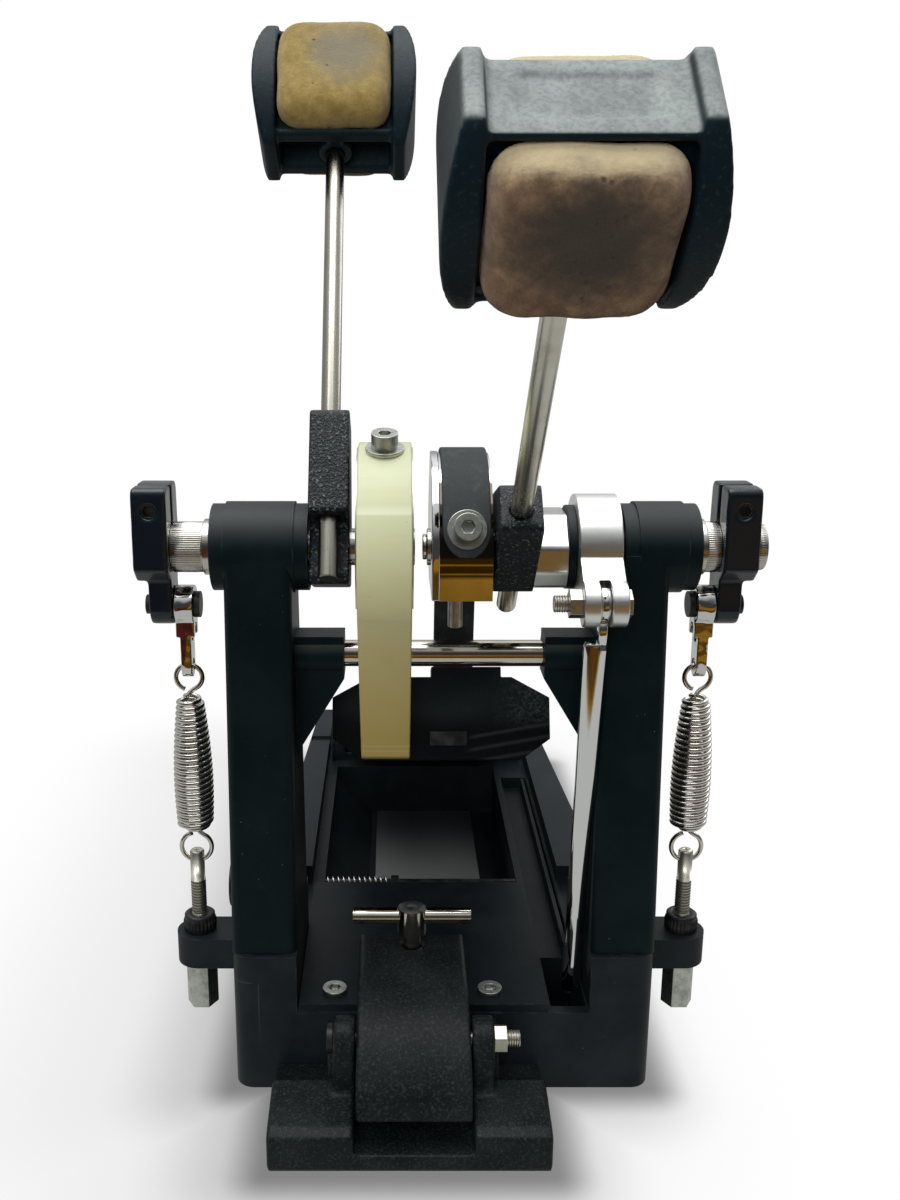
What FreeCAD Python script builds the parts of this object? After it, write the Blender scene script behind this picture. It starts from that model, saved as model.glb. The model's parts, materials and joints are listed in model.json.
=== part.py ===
import FreeCAD, Part
import Sketcher
import math
import os

doc = FreeCAD.newDocument("drum_pedal")
sheet = doc.addObject("Spreadsheet::Sheet", "sizes")

# Driving dimensions in millimetres and degrees.
driving = [
    ("axle_height", 228.0),
    ("axle_radius", 7.5),
    ("fit_gap", 0.02),
    ("running_gap", 0.05),
    ("seat_gap", 0.3),
    ("overrun", 5.0),
    ("right_cam_in", 3.4),
    ("tower_wide", 27.0),
    ("seam_height", 62.0),
    ("deck_height", 36.0),
    ("base_front", 34.0),
    ("base_shoulder", 44.0),
    ("base_rear_stand", 65.0),
    ("edge_rail_front", 78.0),
    ("edge_rail_rear", 10.0),
    ("edge_rail_set", 3.0),
    ("edge_rail_in", 62.0),
    ("edge_rail_high", 46.0),
    ("base_taper", 14.0),
    ("base_corner_round", 8.0),
    ("seat_rear", 36.0),
    ("tray_set", 5.0),
    ("tray_wall", 3.5),
    ("tray_slope_high", 29.0),
    ("tray_slope_reach", 22.0),
    ("tray_front", 74.0),
    ("tray_rear_set", 23.0),
    ("tray_floor", 5.0),
    ("slot_room", 14.5),
    ("slot_wall", 0.4),
    ("slot_front", 29.0),
    ("slot_rear_set", 41.0),
    ("slot_step", 20.0),
    ("channel_floor", 29.0),
    ("rail_half", 0.9),
    ("rail_space", 3.4),
    ("rail_high", 37.0),
    ("rail_end", 4.0),
    ("slot_floor", 6.0),
    ("spring_stand", 18.0),
    ("lug_half", 10.0),
    ("lug_low", 42.0),
    ("lug_high", 56.0),
    ("stud_radius", 3.3),
    ("stud_low", 24.0),
    ("stud_high", 94.0),
    ("stud_flat_half", 2.4),
    ("stud_flat_long", 11.0),
    ("stud_eye_drop", 5.0),
    ("eye_radius", 2.5),
    ("stud_eye_radius", 1.9),
    ("thumb_nut_radius", 7.2),
    ("thumb_nut_tall", 8.0),
    ("tension_nut_radius", 6.9),
    ("tension_nut_tall", 22.0),
    ("plate_thick", 1.5),
    ("floor_plate_set_left", 25.0),
    ("floor_plate_set_right", 14.0),
    ("floor_plate_set_front", 60.0),
    ("floor_plate_set_rear", 2.0),
    ("deck_thick", 3.5),
    ("deck_gap", 0.5),
    ("deck_set", 1.5),
    ("deck_front", 33.0),
    ("deck_rear", 73.0),
    ("screw_radius", 3.0),
    ("screw_head_radius", 5.2),
    ("deck_head_tall", 1.8),
    ("cap_head_tall", 6.0),
    ("screw_long", 20.0),
    ("socket_radius", 2.6),
    ("socket_deep", 2.4),
    ("deck_screw_y", 23.0),
    ("deck_screw_reach", 33.0),
    ("tower_front_low", 32.0),
    ("tower_rear_low", 34.0),
    ("tower_half_top", 18.0),
    ("tower_edge_round", 4.0),
    ("housing_radius", 18.5),
    ("left_housing_lap", 6.3),
    ("left_housing_stand", 5.4),
    ("right_housing_set", 9.15),
    ("right_housing_stand", 12.5),
    ("bearing_radius", 13.0),
    ("bearing_wide", 8.0),
    ("flange_radius", 17.6),
    ("flange_wide", 5.5),
    ("tower_bolt_front", 16.0),
    ("tower_bolt_rear", 18.0),
    ("tower_bolt_head_low", 44.0),
    ("tower_bolt_bite", 16.0),
    ("rod_drop", 45.0),
    ("cross_rod_radius", 5.5),
    ("boss_radius", 9.0),
    ("boss_long", 20.0),
    ("boss_bite", 14.0),
    ("gusset_drop", 42.0),
    ("gusset_half", 7.0),
    ("axle_end_stand", 1.0),
    ("left_axle_tail", 1.0),
    ("right_axle_tail", 0.9),
    ("axle_cap_radius", 9.3),
    ("axle_cap_wide", 4.5),
    ("knurl_radius", 10.0),
    ("collar_radius", 11.4),
    ("collar_wide", 3.6),
    ("rocker_wide", 14.0),
    ("left_rocker_stand", 4.0),
    ("right_rocker_stand", 4.0),
    ("rocker_half_top", 12.5),
    ("rocker_half_mid", 14.0),
    ("rocker_top", 25.6),
    ("rocker_mid_drop", 7.0),
    ("rocker_neck_drop", 12.5),
    ("ear_half", 8.0),
    ("ear_drop", 24.0),
    ("rocker_slot_half", 1.4),
    ("rocker_screw_rise", 16.6),
    ("rocker_screw_reach", 10.0),
    ("rocker_screw_set", 0.6),
    ("rocker_ear_set", 4.5),
    ("pin_radius", 4.0),
    ("pin_head_radius", 5.4),
    ("pin_head_tall", 2.4),
    ("hook_thick", 7.6),
    ("hook_eye_radius", 8.0),
    ("hook_half", 5.0),
    ("hook_body_drop", 13.0),
    ("hook_tongue_thick", 4.4),
    ("hook_slot_half", 1.8),
    ("hook_slot_top", 9.6),
    ("hook_slot_low", 14.4),
    ("hook_hole_drop", 50.0),
    ("holder_wide", 16.0),
    ("holder_stand", 0.5),
    ("hub_stand", 0.45),
    ("rod_offset", 16.0),
    ("holder_top", 50.0),
    ("holder_front", 25.0),
    ("holder_top_rear", 5.0),
    ("holder_rear", 15.0),
    ("holder_shoulder", 14.0),
    ("holder_low_rear", 12.5),
    ("holder_low", 19.5),
    ("holder_step_front", 11.4),
    ("holder_step", 6.0),
    ("holder_round", 3.0),
    ("holder_screw_rise", 38.0),
    ("beater_rod_radius", 4.0),
    ("beater_rod_low", 19.0),
    ("left_beater_reach", 203.0),
    ("right_beater_reach", 196.0),
    ("left_lean_degrees", 32.0),
    ("right_lean_degrees", 45.3),
    ("head_half_wide", 35.2),
    ("head_web_half", 25.0),
    ("head_web_deep", 14.0),
    ("head_web_tall", 27.0),
    ("cheek_tall", 31.0),
    ("cheek_flat", 13.0),
    ("cheek_arc", 53.0),
    ("cheek_side_arc", 100.0),
    ("cheek_round", 3.0),
    ("felt_half_wide", 24.6),
    ("felt_half_tall", 24.0),
    ("felt_seat", 10.0),
    ("felt_front", 27.0),
    ("felt_round", 9.0),
    ("recess_half_wide", 18.0),
    ("recess_half_deep", 8.0),
    ("recess_drop", 0.8),
    ("under_pocket_out", 24.0),
    ("under_pocket_half", 8.0),
    ("under_pocket_deep", 12.0),
    ("under_boss_radius", 7.4),
    ("rod_bore_top", 15.0),
    ("cam_stand", 3.0),
    ("cam_wide", 22.0),
    ("cam_radius", 40.0),
    ("cam_hub", 15.0),
    ("cam_back", 7.0),
    ("strap_thick", 2.0),
    ("strap_wide", 21.0),
    ("strap_gap", 0.1),
    ("washer_radius", 7.5),
    ("washer_thick", 1.5),
    ("strap_hole", 3.3),
    ("wrap_start_degrees", 80.0),
    ("front_screw_degrees", 16.0),
    ("rear_screw_degrees", 21.0),
    ("rear_wrap_short_degrees", 6.0),
    ("cam_front_degrees", 24.0),
    ("cam_brow_degrees", 30.0),
    ("half_turn_degrees", 180.0),
    ("strap_screw_long", 14.0),
    ("right_cam_stand", 1.0),
    ("right_cam_wide", 20.0),
    ("right_cam_radius", 38.0),
    ("right_cam_low", 13.0),
    ("right_cam_flat", 2.6),
    ("right_cam_front_low", 37.8),
    ("right_cam_rear_low", 12.0),
    ("right_strap_wide", 18.2),
    ("side_plate_thick", 3.0),
    ("side_plate_radius", 39.0),
    ("tip_radius", 2.8),
    ("tip_drop", 12.0),
    ("tip_shift", 3.7),
    ("tip_y", 30.0),
    ("hub_wide", 14.0),
    ("liner_flange_wide", 3.5),
    ("link_collar_wide", 17.0),
    ("link_collar_stand", 1.6),
    ("link_collar_radius", 21.5),
    ("liner_radius", 12.5),
    ("liner_flange_radius", 17.0),
    ("link_ear_half", 9.0),
    ("link_pin_drop", 16.0),
    ("link_pin_front", 30.0),
    ("link_pin_radius", 3.0),
    ("link_bolt_tail", 5.8),
    ("link_nut_thick", 5.0),
    ("link_head_tall", 2.0),
    ("link_nut_radius", 5.8),
    ("link_tongue", 3.6),
    ("link_eye_radius", 7.0),
    ("link_half_top", 3.6),
    ("link_half_low", 4.0),
    ("link_top_shift", 3.4),
    ("link_tip_shift", 4.5),
    ("link_thick", 5.0),
    ("link_shoulder", 16.0),
    ("link_tip_height", 35.0),
    ("link_lean_degrees", 4.5),
    ("link_ear_root_y", 14.0),
    ("link_ear_root_z", 16.0),
    ("link_ear_top_z", 5.0),
    ("link_slot_top", 9.0),
    ("recess_gap", 0.8),
    ("recess_low", 28.0),
    ("recess_back", 10.0),
    ("hub_top", 14.5),
    ("hub_back", 17.0),
    ("hub_side", 12.0),
    ("hub_brow", 7.0),
    ("hub_nose", 3.0),
    ("hub_chin", 7.0),
    ("hub_round", 4.0),
    ("toe_back", 17.51),
    ("hinge_rise", 10.0),
    ("hinge_pin_radius", 4.0),
    ("ear_stand", 4.5),
    ("hinge_ear_thick", 8.0),
    ("hinge_ear_radius", 13.0),
    ("board_half", 47.5),
    ("board_long", 258.0),
    ("board_half_thick", 3.0),
    ("toe_drop", 81.19),
    ("board_clear", 16.0),
    ("knuckle_radius", 9.0),
    ("toe_deep", 30.0),
    ("toe_rise", 19.0),
    ("toe_rise_deep", 17.0),
    ("toe_top_half", 31.0),
    ("toe_brow", 9.0),
    ("toe_low", 17.0),
    ("toe_side_low", 8.0),
    ("toe_low_half", 35.0),
    ("hump_left", 4.2),
    ("hump_right", 26.4),
    ("hump_tall", 23.5),
    ("hump_deep", 12.0),
    ("rib_x", 32.0),
    ("rib_half", 2.0),
    ("rib_low", 12.0),
    ("groove_half", 1.6),
    ("groove_deep", 1.2),
    ("groove_space", 11.0),
    ("groove_front", 214.0),
    ("groove_rear", 40.0),
    ("strap_pin_low", 16.0),
    ("strap_stand", 1.6),
    ("return_slot_back", 218.0),
    ("return_strap_rise", 4.6),
    ("toe_plate_left", 5.0),
    ("toe_plate_right", 11.2),
    ("toe_plate_low", 11.0),
    ("toe_plate_high", 5.0),
    ("heel_half", 48.0),
    ("heel_front_stand", 15.0),
    ("heel_long", 46.0),
    ("heel_thick", 6.0),
    ("foot_half", 55.2),
    ("foot_shift", 1.8),
    ("foot_front", 84.5),
    ("foot_wall", 46.0),
    ("foot_wall_low", 57.0),
    ("foot_wall_high", 34.0),
    ("foot_wall_step", 21.0),
    ("foot_back", 55.5),
    ("foot_back_high", 12.0),
    ("foot_block_set", 3.0),
    ("foot_lip_back", 80.0),
    ("foot_lip_high", 17.0),
    ("foot_lip_low", 15.0),
    ("foot_recess_floor", 7.0),
    ("foot_recess_rear", 54.0),
    ("clamp_pin_y", 55.0),
    ("clamp_pin_z", 38.5),
    ("clamp_ear_radius", 9.0),
    ("clamp_ear_thick", 8.8),
    ("arm_half", 22.8),
    ("arm_gap", 0.5),
    ("clamp_nut_thick", 5.2),
    ("clamp_head_tall", 2.6),
    ("clamp_bolt_radius", 3.0),
    ("clamp_nut_radius", 5.8),
    ("clamp_bolt_tail", 5.3),
    ("arm_tip_y", 80.0),
    ("arm_tip_z", 18.0),
    ("arm_nose_y", 77.0),
    ("arm_nose_z", 27.5),
    ("arm_back_arc", 55.0),
    ("arm_top_y", 32.0),
    ("arm_top_z", 52.0),
    ("arm_rear", 4.0),
    ("arm_under_z", 44.0),
    ("arm_under_y", 45.0),
    ("arm_heel_y", 50.0),
    ("arm_heel_z", 29.5),
    ("arm_throat_y", 60.0),
    ("arm_throat_z", 29.0),
    ("arm_jaw_y", 71.0),
    ("tee_y", 6.0),
    ("tee_x", 12.8),
    ("tee_radius", 4.0),
    ("tee_head_radius", 6.3),
    ("tee_head_low", 58.0),
    ("tee_head_high", 69.5),
    ("tee_bar_height", 65.4),
    ("tee_bar_half", 25.5),
    ("tee_bar_radius", 3.5),
    ("latch_y", 84.0),
    ("latch_z", 33.8),
    ("latch_radius", 1.6),
    ("latch_knob_long", 12.0),
    ("latch_bite", 2.5),
    ("latch_knob_radius", 12.0),
    ("latch_knob_stand", 4.0),
    ("latch_collar_x", 22.0),
    ("latch_collar_radius", 3.4),
    ("latch_collar_thick", 4.0),
    ("latch_coil_radius", 2.4),
    ("latch_wire", 0.5),
    ("wire_radius", 1.0),
    ("coil_stand", 2.0),
    ("coil_top_stand", 5.0),
    ("coil_pitch", 2.857),
    ("coil_radius_low", 6.6),
    ("coil_radius_mid", 7.4),
    ("coil_radius_high", 4.6),
    ("low_loop_radius", 6.5),
    ("top_loop_radius", 5.5),
]


class Size:
    """A length or angle that carries its sheet formula and its present value."""

    def __init__(self, text, value):
        self.text = text
        self.value = value

    def __add__(self, other):
        other = as_size(other)
        return Size("(%s + %s)" % (self.text, other.text), self.value + other.value)

    def __sub__(self, other):
        other = as_size(other)
        return Size("(%s - %s)" % (self.text, other.text), self.value - other.value)

    def __mul__(self, other):
        other = as_size(other)
        return Size("(%s * %s)" % (self.text, other.text), self.value * other.value)

    def __truediv__(self, other):
        other = as_size(other)
        return Size("(%s / %s)" % (self.text, other.text), self.value / other.value)

    def __neg__(self):
        return Size("(0 - %s)" % self.text, -self.value)


def as_size(thing):
    if isinstance(thing, Size):
        return thing
    return Size(repr(thing), float(thing))


def root(thing):
    return Size("sqrt(%s)" % thing.text, math.sqrt(thing.value))


def sine(angle):
    return Size("sin(%s)" % angle.text, math.sin(math.radians(angle.value)))


def cosine(angle):
    return Size("cos(%s)" % angle.text, math.cos(math.radians(angle.value)))


def arc_sine(share):
    return Size("(asin(%s) / (1 deg))" % share.text, math.degrees(math.asin(share.value)))


def arc_tangent(share):
    return Size("(atan(%s) / (1 deg))" % share.text, math.degrees(math.atan(share.value)))


class Sizes:
    pass


z = Sizes()
for row, (name, value) in enumerate(driving, start=1):
    sheet.set("A%d" % row, name)
    sheet.set("B%d" % row, str(value))
    sheet.setAlias("B%d" % row, name)
    setattr(z, name, Size("sizes." + name, value))
doc.recompute()
zero = as_size(0)

# Places that follow from the driving sizes, chained outwards from piece to piece.
z.right_cam_left = -z.right_cam_in
z.right_cam_right = z.right_cam_left + z.right_cam_wide
z.right_axle_left = z.right_cam_left - z.side_plate_thick - z.right_axle_tail
z.right_rod_x = z.right_cam_right + z.right_cam_stand + z.holder_wide / 2
z.hub_left = z.right_rod_x + z.holder_wide / 2 + z.hub_stand
z.hub_right = z.hub_left + z.hub_wide
z.link_collar_left = z.hub_right + z.liner_flange_wide
z.link_collar_right = z.link_collar_left + z.link_collar_wide
z.link_x = (z.link_collar_left + z.link_collar_right) / 2
z.link_bolt_left = z.link_collar_left - z.link_nut_thick - z.link_bolt_tail
z.right_housing_in = z.link_collar_right + z.link_collar_stand
z.tower_in = z.right_housing_in - z.right_housing_set
z.frame_half = z.tower_in + z.tower_wide
z.right_housing_out = z.frame_half + z.right_housing_stand
z.spring_reach = z.frame_half + z.spring_stand
z.left_housing_in = z.tower_in - z.left_housing_lap
z.left_housing_out = z.frame_half + z.left_housing_stand
z.left_rod_x = z.left_housing_in - z.holder_stand - z.holder_wide / 2
z.left_cam_out = z.left_rod_x - z.holder_wide / 2 - z.cam_stand
z.left_axle_in = z.left_cam_out - z.cam_wide - z.left_axle_tail
z.left_rocker_in = z.spring_reach + z.left_rocker_stand
z.right_rocker_in = z.spring_reach + z.right_rocker_stand
z.left_axle_out = z.left_rocker_in + z.rocker_wide + z.axle_end_stand
z.right_axle_out = z.right_rocker_in + z.rocker_wide + z.axle_end_stand
z.tip_x = (z.right_cam_left + z.right_cam_right) / 2 - z.tip_shift
z.boss_in = z.tower_in - z.boss_long
z.slot_left = z.link_x - z.slot_room
z.slot_right = z.tower_in - z.slot_wall
z.tray_left = z.tower_in - z.tray_set
z.tray_right = z.slot_left - z.tray_wall
z.deck_left = z.tower_in - z.deck_gap
z.deck_right = z.slot_left - z.deck_set
z.deck_screw_left = z.tee_x + z.deck_screw_reach
z.deck_screw_right = z.deck_screw_reach - z.tee_x
z.arm_left = z.tee_x + z.arm_half
z.arm_right = z.arm_half - z.tee_x
z.foot_left = z.tee_x + z.foot_half + z.foot_shift
z.foot_right = z.foot_half - z.tee_x - z.foot_shift
z.hinge_ear_in = z.board_half + z.ear_stand
z.latch_knob_in = z.frame_half + z.latch_knob_stand
z.latch_left = z.latch_knob_in + z.latch_knob_long
z.latch_right = z.tray_right + z.latch_bite
z.base_rear_half = z.frame_half - z.base_taper
z.hinge_z = z.deck_height + z.hinge_rise
z.heel_high = z.deck_height + z.heel_thick
z.board_slope = arc_sine((z.axle_height - z.toe_drop - z.hinge_z) / z.board_long)
z.hinge_y = z.toe_back + cosine(z.board_slope) * z.board_long
z.base_rear = z.hinge_y + z.base_rear_stand
z.tray_rear = z.hinge_y - z.tray_rear_set
z.slot_rear = z.hinge_y - z.slot_rear_set
z.heel_front = z.hinge_y + z.heel_front_stand
z.heel_rear = z.heel_front + z.heel_long
z.floor_plate_left = z.tray_left - z.floor_plate_set_left
z.floor_plate_right = z.tray_right - z.floor_plate_set_right
z.floor_plate_front = z.tray_front + z.floor_plate_set_front
z.floor_plate_rear = z.tray_rear - z.floor_plate_set_rear
z.low_loop_height = z.stud_high - z.stud_eye_drop + z.low_loop_radius
z.top_loop_height = z.axle_height - z.hook_hole_drop - z.top_loop_radius
z.coil_low = z.low_loop_height + z.low_loop_radius + z.coil_stand
z.coil_high = z.top_loop_height - z.top_loop_radius - z.coil_top_stand


def bind(item, prop, amount):
    item.setExpression(prop, as_size(amount).text)


# Rotations that stand a primitive's own Z along the named axis.
stand = {
    "X": FreeCAD.Rotation(FreeCAD.Vector(0, 1, 0), 90),
    "Y": FreeCAD.Rotation(FreeCAD.Vector(1, 0, 0), -90),
    "Z": FreeCAD.Rotation(),
}


def put(item, x, y, height):
    bind(item, "Placement.Base.x", x)
    bind(item, "Placement.Base.y", y)
    bind(item, "Placement.Base.z", height)


def block(name, low, high):
    item = doc.addObject("Part::Box", name)
    for prop, start, end in zip(("Length", "Width", "Height"), low, high):
        bind(item, prop, as_size(end) - start)
    put(item, *low)
    return item


def along(item, axis, start, across, upward):
    item.Placement = FreeCAD.Placement(FreeCAD.Vector(), stand[axis])
    spot = {"X": (start, across, upward), "Y": (across, start, upward), "Z": (across, upward, start)}
    put(item, *spot[axis])
    return item


def bar(name, axis, radius, start, end, across, upward):
    item = doc.addObject("Part::Cylinder", name)
    bind(item, "Radius", radius)
    bind(item, "Height", as_size(end) - start)
    return along(item, axis, start, across, upward)


def hexagon(name, axis, radius, start, end, across, upward):
    item = doc.addObject("Part::Prism", name)
    item.Polygon = 6
    bind(item, "Circumradius", radius)
    bind(item, "Height", as_size(end) - start)
    return along(item, axis, start, across, upward)


def fuse(name, *items):
    item = doc.addObject("Part::MultiFuse", name)
    item.Shapes = list(items)
    return item


def cut(name, base, *tools):
    item = doc.addObject("Part::Cut", name)
    item.Base = base
    item.Tool = tools[0] if len(tools) == 1 else fuse(name + "_tools", *tools)
    return item


def group(name, *items):
    item = doc.addObject("Part::Compound", name)
    item.Links = list(items)
    return item


pieces = []


def keep(name, item):
    item.Label = name
    pieces.append((name, item))
    return item


class Solid:
    """A body built up from pads and pockets on its own origin planes."""

    def __init__(self, name):
        self.name = name
        self.count = 0
        self.body = doc.addObject("PartDesign::Body", name)

    def sketch(self, plane, offset):
        self.count += 1
        item = self.body.newObject("Sketcher::SketchObject", "%s_sketch_%d" % (self.name, self.count))
        flat = [f for f in self.body.Origin.OriginFeatures if f.Role == plane][0]
        item.AttachmentSupport = [(flat, "")]
        item.MapMode = "FlatFace"
        bind(item, "AttachmentOffset.Base.z", offset)
        return item

    def draw(self, item, outline):
        spots = [(as_size(p[0]), as_size(p[1])) for p in outline]
        count = len(outline)
        edges = []
        for i, step in enumerate(outline):
            a = FreeCAD.Vector(spots[i][0].value, spots[i][1].value, 0)
            j = (i + 1) % count
            b = FreeCAD.Vector(spots[j][0].value, spots[j][1].value, 0)
            if len(step) == 2:
                edges.append((item.addGeometry(Part.LineSegment(a, b)), 1, 2))
                continue
            radius = as_size(step[2])
            chord = b - a
            reach = math.sqrt(max(radius.value ** 2 - chord.Length ** 2 / 4, 0))
            side = FreeCAD.Vector(-chord.y, chord.x, 0).normalize()
            turn = step[3]
            bulge = side * (turn * (radius.value - step[4] * reach))
            middle = (a + b) * 0.5 - bulge
            arc = item.addGeometry(Part.Arc(a, middle, b))
            near = item.getPoint(arc, 1).distanceToPoint(a) < item.getPoint(arc, 2).distanceToPoint(a)
            edges.append((arc, 1, 2) if near else (arc, 2, 1))
            if step[4]:
                mark = item.addConstraint(Sketcher.Constraint("Radius", arc, radius.value))
                item.setExpression("Constraints[%d]" % mark, radius.text)
                continue
            # A half round is held by its centre, midway between its ends.
            way = 1 if abs(chord.x) > abs(chord.y) else 0
            centre = (spots[i][way] + spots[j][way]) / 2
            kind = ("DistanceX", "DistanceY")[way]
            mark = item.addConstraint(Sketcher.Constraint(kind, -1, 1, arc, 3, centre.value))
            item.setExpression("Constraints[%d]" % mark, centre.text)
        for i, (edge, first, last) in enumerate(edges):
            after = edges[(i + 1) % count]
            item.addConstraint(Sketcher.Constraint("Coincident", edge, last, after[0], after[1]))
            for kind, amount in zip(("DistanceX", "DistanceY"), spots[i]):
                mark = item.addConstraint(Sketcher.Constraint(kind, -1, 1, edge, first, amount.value))
                item.setExpression("Constraints[%d]" % mark, amount.text)

    def circle(self, item, x, y, radius):
        x, y, radius = as_size(x), as_size(y), as_size(radius)
        spot = FreeCAD.Vector(x.value, y.value, 0)
        ring = item.addGeometry(Part.Circle(spot, FreeCAD.Vector(0, 0, 1), radius.value))
        mark = item.addConstraint(Sketcher.Constraint("Radius", ring, radius.value))
        item.setExpression("Constraints[%d]" % mark, radius.text)
        for kind, amount in (("DistanceX", x), ("DistanceY", y)):
            mark = item.addConstraint(Sketcher.Constraint(kind, -1, 1, ring, 3, amount.value))
            item.setExpression("Constraints[%d]" % mark, amount.text)

    def shape(self, kind, plane, start, length, outlines, circles):
        item = self.sketch(plane, start)
        for outline in outlines:
            self.draw(item, outline)
        for ring in circles:
            self.circle(item, *ring)
        feature = self.body.newObject(kind, "%s_step_%d" % (self.name, self.count))
        feature.Profile = item
        bind(feature, "Length", length)
        item.Visibility = False
        self.body.Tip = feature
        return feature

    def pad(self, plane, start, length, *outlines, circles=()):
        return self.shape("PartDesign::Pad", plane, start, length, outlines, circles)

    def pocket(self, plane, start, length, *outlines, circles=()):
        feature = self.shape("PartDesign::Pocket", plane, start, length, outlines, circles)
        feature.Reversed = True
        return feature

    def soften(self, kind, radius, test):
        doc.recompute()
        tip = self.body.Tip
        names = []
        for number, edge in enumerate(tip.Shape.Edges, start=1):
            if test(edge):
                names.append("Edge%d" % number)
        if not names:
            raise ValueError("no edge found to soften on " + self.name)
        feature = self.body.newObject(kind, "%s_soft_%d" % (self.name, self.count))
        self.count += 1
        feature.Base = (tip, names)
        bind(feature, "Radius" if kind.endswith("Fillet") else "Size", radius)
        self.body.Tip = feature
        return feature

    def fillet(self, radius, test):
        return self.soften("PartDesign::Fillet", radius, test)

    def keep(self):
        return keep(self.name, self.body)


# how far an edge may lean from its axis, as parts of its length
straight_share = 1 - 1e-9
level_share = 0.01
upright_share = 0.5


def runs_along(edge, axis):
    if len(edge.Vertexes) != 2 or not isinstance(edge.Curve, Part.Line):
        return False
    return abs(getattr(edge.Curve.Direction, axis)) > straight_share


def near(amount, place):
    return abs(amount - as_size(place).value) < z.running_gap.value


def passes(edge, **spot):
    return all(near(getattr(edge.CenterOfMass, axis), value) for axis, value in spot.items())


def rectangle(left, front, right, rear):
    return [(left, front), (right, front), (right, rear), (left, rear)]


def sided(side, left, right):
    return (left, right) if side > 0 else (-right, -left)


def lean_to(item, x, y, height, angle):
    # Turn a piece about X, then carry its own origin to the given spot.
    item.Placement = FreeCAD.Placement(FreeCAD.Vector(), FreeCAD.Rotation(FreeCAD.Vector(1, 0, 0), 1))
    bind(item, "Placement.Rotation.Angle", angle)
    put(item, x, y, height)


def tilt(item, x, angle):
    lean_to(item, x, zero, z.axle_height, angle)


def cap_screw(name, axis, sign, x, y, height, long, tall):
    # A socket screw whose head starts at the given spot and stands out along the sign.
    spot = {"X": (x, y, height), "Y": (y, x, height), "Z": (height, x, y)}[axis]
    start, across, upward = as_size(spot[0]), spot[1], spot[2]
    if sign > 0:
        head = bar(name + "_head", axis, z.screw_head_radius, start, start + tall, across, upward)
        shank = bar(name + "_shank", axis, z.screw_radius, start - long, start + tall / 2, across, upward)
        socket = hexagon(name + "_socket", axis, z.socket_radius, start + tall - z.socket_deep,
                         start + tall + z.overrun, across, upward)
    else:
        head = bar(name + "_head", axis, z.screw_head_radius, start - tall, start, across, upward)
        shank = bar(name + "_shank", axis, z.screw_radius, start - tall / 2, start + long, across, upward)
        socket = hexagon(name + "_socket", axis, z.socket_radius, start - tall - z.overrun,
                         start - tall + z.socket_deep, across, upward)
    return cut(name, fuse(name + "_blank", head, shank), socket)


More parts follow.
